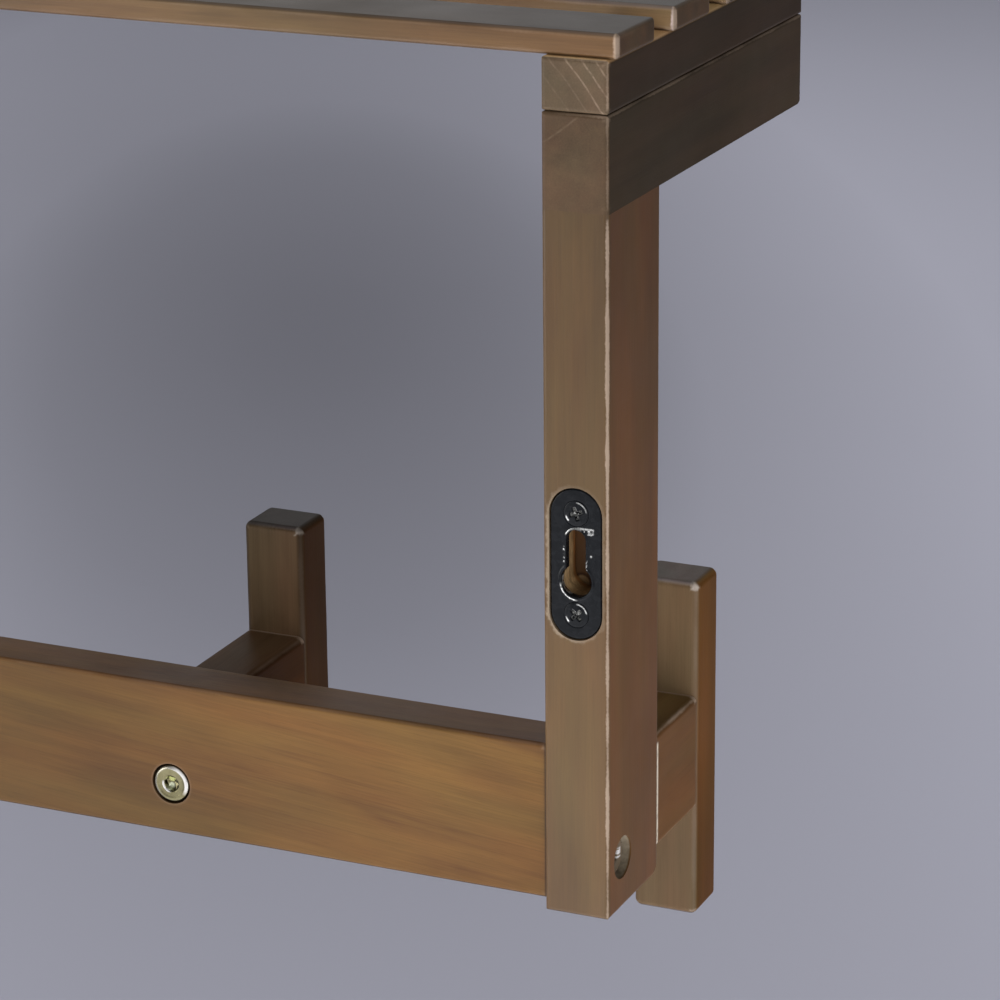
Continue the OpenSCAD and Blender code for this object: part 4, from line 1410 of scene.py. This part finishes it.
class WALLSHELF_OT_bolts(bpy.types.Operator):
    """Makes the socket bolts of the rail and of the hooks"""
    bl_idname = "wall_shelf.bolts"
    bl_label = "Make the bolts"

    def execute(self, context):
        sizes = context.scene.wall_shelf.hardware
        zinc = zinc_steel("zinc_bolts", bolt_head_glints)
        outline = (sizes.bolt_head / MM, sizes.bolt_socket / MM)
        low, high = span("hook_bolts")
        length = (high.y - low.y) / MM - BOLT_HEAD_H
        shape = profile_mesh("hook bolt outline", bolt_profile(*outline, length))
        piece = grow("hook_bolts_turned", "turned fasteners", shape, zinc, {
            "Lean": (-math.pi / 2, 0.0, 0.0), "Step": HOOK_STEP, "Count": 3, "Turn": 0.35, "Turn Step": 0.4,
            "First": (middle("hook_block_2").x, high.y + BOLT_OUT, (low.z + high.z) / 2)})
        finish_piece(piece, "zinc_steel", "hook_bolts")
        low, high = span("rail_bolts")
        length = (span("rail_inserts")[0].x - low.x) / MM + SHANK_MORE
        pieces = []
        for side, start in ((-1, low.x), (1, high.x)):
            shape = profile_mesh("rail bolt outline", bolt_profile(*outline, length))
            pieces.append(grow(f"rail_bolt_{side}", "turned fasteners", shape, zinc, {
                "Lean": (0.0, side * math.pi / 2, 0.0), "Count": 1, "Turn": 0.2,
                "First": (start, (low.y + high.y) / 2, (low.z + high.z) / 2)}))
        finish_piece(joined("rail_bolts_turned", pieces), "zinc_steel", "rail_bolts")
        return {"FINISHED"}


class WALLSHELF_OT_plate_screws(bpy.types.Operator):
    """Makes the countersunk cross screws of the keyhole plates"""
    bl_idname = "wall_shelf.plate_screws"
    bl_label = "Make the plate screws"

    def execute(self, context):
        sizes = context.scene.wall_shelf.hardware
        low, high = span("plate_screws")
        outline = screw_profile(sizes.screw_head / MM, (high.y - low.y) / MM)
        shape = profile_mesh("plate screw outline", outline)
        steel = black_steel("black_screw", screw_glints)
        piece = grow("plate_screws_turned", "turned fasteners", shape, steel,
                     {"Sides": 96, "Cross Recess": True, "Wing Share": sizes.screw_wing, "Turn": 0.78,
                      "Turn Step": -0.44, "Lean": (-math.pi / 2, 0.0, 0.0),
                      "First": (PLATE_LEFT.x, high.y, SCREW_ZS[1]), "Step": PLATE_STEP, "Count": 2, "Rows": 2,
                      "Row Step": (0.0, 0.0, SCREW_ZS[0] - SCREW_ZS[1])})
        finish_piece(piece, "black_steel", "plate_screws")
        return {"FINISHED"}


class WALLSHELF_OT_hanger_plates(bpy.types.Operator):
    """Makes the keyhole plates let into the posts"""
    bl_idname = "wall_shelf.hanger_plates"
    bl_label = "Make the keyhole plates"

    def execute(self, context):
        sizes = context.scene.wall_shelf.hardware
        steel = black_steel("black_plate", plate_glints)
        places = [Vector((side * abs(PLATE_LEFT.x), PLATE_FACE, 0.0)) for side in (-1, 1)]
        mesh = plate_mesh("hanger_plates", sizes.plate_collar / MM, sizes.plate_rim / MM, places)
        mesh.materials.append(steel)
        heavy_normals(mesh)
        piece = put_in_scene("hanger_plates", mesh)
        finish_piece(piece, "black_steel", "hanger_plate_left", "hanger_plate_right")
        return {"FINISHED"}


class WALLSHELF_OT_hidden_fasteners(bpy.types.Operator):
    """Gives the dowels, inserts and screws inside the joints their materials"""
    bl_idname = "wall_shelf.hidden_fasteners"
    bl_label = "Finish the hidden fasteners"

    def execute(self, context):
        dress(dowel_wood(), "arm_dowels", "rail_dowels", "hook_dowels", "post_hook_dowels", "block_dowels")
        dress(insert_brass(), "rail_inserts", "hook_inserts")
        dress(zinc_steel(), "arm_screws", "slat_screws")
        return {"FINISHED"}


# The stage ------------------------------------------------------------------------------------

# The camera, fitted to measured points of the photograph.
CAMERA_AT = Vector((-0.61121, 0.854232, 0.331026))
CAMERA_RIGHT = Vector((-0.91295036, -0.40796553, -0.00926092))
CAMERA_UP = Vector((0.12057529, -0.29136702, 0.94898201))
CAMERA_BACK = Vector((-0.38985028, 0.86525683, 0.31519419))
FRAME_PIXELS = 1000
SENSOR = 36.0  # in millimetres, like the lens


def pixel_ray(lens, column, row):
    """The direction from the camera through a pixel of the photograph's frame."""
    scale = lens / SENSOR * FRAME_PIXELS
    half = FRAME_PIXELS / 2
    return (CAMERA_RIGHT * (column - half) - CAMERA_UP * (row - half) - CAMERA_BACK * scale).normalized()


MIDDLE = (-0.1, -0.05, 0.0)  # where most lights aim
# Each light's name, place, aim, size and power.
LIGHTS = (
    ("left_light", (1.6, 1.4, 0.1), MIDDLE, (1.2, 1.2), 31.5),
    ("right_light", (-1.3, 1.7, 0.1), MIDDLE, (1.2, 1.2), 9.6),
    ("low_light", (0.2, 1.7, -0.45), MIDDLE, (1.8, 0.4), 3.0),
    ("side_light", (-1.6, 0.3, -0.5), MIDDLE, (1.4, 0.3), 7.1),
    ("under_light", (-0.2, 0.3, -0.55), MIDDLE, (1.4, 0.8), 7.1),
    ("front_light", (0.4, -2.2, 0.9), MIDDLE, (1.8, 1.2), 3.5),
    ("top_light", (0.2, 0.1, 2.2), MIDDLE, (1.8, 1.8), 8.4),
    ("floor_light", (0.9, -2.8, 1.5), (0.9, -2.8, -1.0), (2.4, 3.2), 10.1),
)
FLOOR_LIGHT_SPREAD = math.radians(100)
FLOOR_REACH = 40.0
# How light the floor is, from the middle of its shade outwards.
FLOOR_SHADE = ((0.0, 0.375), (0.1, 0.395), (0.25, 0.505), (0.36, 0.69), (0.6, 0.95), (0.8, 1.21), (1.0, 1.40))
SHADE_PIXEL = (320, 350)  # where the floor is darkest in the photograph's frame
# Against the frame's own width on the floor, the shade is shorter along the view and wider across it.
SHADE_SHORTER, SHADE_WIDER = 1.12, 1.04


def add_light(name, place, aim, size, power):
    """A soft rectangular light aimed at a place, which the camera doesn't see."""
    lamp = bpy.data.lights.new(name, "AREA")
    lamp.shape = "RECTANGLE"
    lamp.size, lamp.size_y = size
    lamp.energy = power
    if name == "floor_light":
        lamp.spread = FLOOR_LIGHT_SPREAD
    holder = put_in_scene(name, lamp)
    holder.visible_camera = False
    holder.location = place
    holder.rotation_euler = (Vector(aim) - Vector(place)).to_track_quat("-Z", "Y").to_euler()


def floor_material(look, floor_z):
    """Pale paint with a soft shade, which lets views from below see through."""
    material, bench, place, shader = new_material("pale_floor", {"Roughness": 0.9, SPECULAR: 0.1})
    ray = pixel_ray(look.lens, *SHADE_PIXEL)
    far = (floor_z - CAMERA_AT.z) / ray.z
    spot = CAMERA_AT + ray * far
    width = far * SENSOR / look.lens
    steep = -ray.z / ray.length
    mapping = bench.add("ShaderNodeMapping", {
        "Vector": place * MM, "Location": (spot.x, spot.y, floor_z),
        "Rotation": (0.0, 0.0, math.atan2(ray.y, ray.x)),
        "Scale": (width / steep / SHADE_SHORTER, width * SHADE_WIDER, 1.0)}, vector_type="TEXTURE")
    ramp = bench.add("ShaderNodeValToRGB", {"Fac": bench.length(mapping)})
    ramp.color_ramp.interpolation = "B_SPLINE"
    while len(ramp.color_ramp.elements) < len(FLOOR_SHADE):
        ramp.color_ramp.elements.new(0.5)
    for element, (at, value) in zip(ramp.color_ramp.elements, FLOOR_SHADE):
        element.position = at
        element.color = (value, value, value, 1.0)
    mottle = bench.mottle(0.985, 1.015, place, 900.0, 2.0)
    bench.fill(shader, {"Base Color": bench.tint(ramp, look.floor_tone) * mottle})
    clear = bench.add("ShaderNodeBsdfTransparent")
    below = bench.out("ShaderNodeNewGeometry", output="Backfacing")
    either = bench.add("ShaderNodeMixShader", {0: below, 1: shader, 2: clear})
    surface = next(node for node in bench.tree.nodes if node.bl_idname == "ShaderNodeOutputMaterial")
    bench.fill(surface, {"Surface": either})
    return material


class WALLSHELF_OT_stage(bpy.types.Operator):
    """Sets up the camera, the pale floor and the soft studio lights"""
    bl_idname = "wall_shelf.stage"
    bl_label = "Set the stage"

    def execute(self, context):
        scene = context.scene
        look = scene.wall_shelf.stage
        camera = bpy.data.cameras.new("photo_camera")
        camera.lens, camera.sensor_width, camera.clip_end = look.lens, SENSOR, 100.0
        scene.camera = put_in_scene("photo_camera", camera)
        turn = Matrix((CAMERA_RIGHT, CAMERA_UP, CAMERA_BACK)).transposed().to_4x4()
        scene.camera.matrix_world = Matrix.Translation(CAMERA_AT) @ turn

        floor_z = CAD_LOW.z - look.floor_drop
        mesh = bpy.data.meshes.new("floor")
        corners = [(x * FLOOR_REACH, y * FLOOR_REACH, floor_z)
                   for x, y in ((-1, -1), (1, -1), (1, 1), (-1, 1))]
        mesh.from_pydata(corners, [], [(0, 1, 2, 3)])
        mesh.materials.append(floor_material(look, floor_z))
        floor = put_in_scene("floor", mesh)

        for name, place, aim, size, power in LIGHTS:
            add_light(name, place, aim, size, power * look.lights)

        world = bpy.data.worlds.new("studio_air")
        world.use_nodes = True
        world.node_tree.nodes.clear()
        bench = Bench(world.node_tree)
        air = bench.add("ShaderNodeBackground", {"Color": (0.97, 0.98, 1.0), "Strength": look.air})
        bench.add("ShaderNodeOutputWorld", {"Surface": air})
        scene.world = world
        scene.view_settings.view_transform = "Standard"
        scene.view_settings.look = "None"
        return {"FINISHED"}


class WALLSHELF_PT_sidebar(bpy.types.Panel):
    """Sizes, colours and steps of the wall shelf"""
    bl_idname = "WALLSHELF_PT_sidebar"
    bl_label = "Wall Shelf"
    bl_space_type = "VIEW_3D"
    bl_region_type = "UI"
    bl_category = "Wall Shelf"

    def draw(self, context):
        look = context.scene.wall_shelf
        for title, part in (("Slats", look.slats), ("Hooks", look.hooks), ("Hardware", look.hardware),
                            ("Woods", look.woods), ("Stage", look.stage)):
            box = self.layout.box()
            box.label(text=title)
            for key in part.bl_rna.properties.keys():
                if key not in ("rna_type", "name"):
                    box.prop(part, key)
        column = self.layout.column(align=True)
        for step in STEPS:
            column.operator(step.bl_idname)


STEPS = (WALLSHELF_OT_stage, WALLSHELF_OT_frame_woods, WALLSHELF_OT_slats, WALLSHELF_OT_hook_blocks,
         WALLSHELF_OT_bolts, WALLSHELF_OT_plate_screws, WALLSHELF_OT_hanger_plates,
         WALLSHELF_OT_hidden_fasteners)
CLASSES = (ShelfSlatSizes, ShelfHookSizes, ShelfHardwareSizes, ShelfWoodColours, ShelfStageLook,
           ShelfLook) + STEPS + (WALLSHELF_PT_sidebar,)


def register():
    """Makes the operators, the sizes and the sidebar known to Blender."""
    for cls in CLASSES:
        bpy.utils.register_class(cls)
    bpy.types.Scene.wall_shelf = PointerProperty(type=ShelfLook)


def unregister():
    """Takes them away again."""
    del bpy.types.Scene.wall_shelf
    for cls in reversed(CLASSES):
        bpy.utils.unregister_class(cls)


def main():
    """Builds everything in order."""
    register()
    bpy.ops.wall_shelf.stage()
    bpy.ops.wall_shelf.frame_woods()
    bpy.ops.wall_shelf.slats()
    bpy.ops.wall_shelf.hook_blocks()
    bpy.ops.wall_shelf.bolts()
    bpy.ops.wall_shelf.plate_screws()
    bpy.ops.wall_shelf.hanger_plates()
    bpy.ops.wall_shelf.hidden_fasteners()


if __name__ == "__main__":
    main()
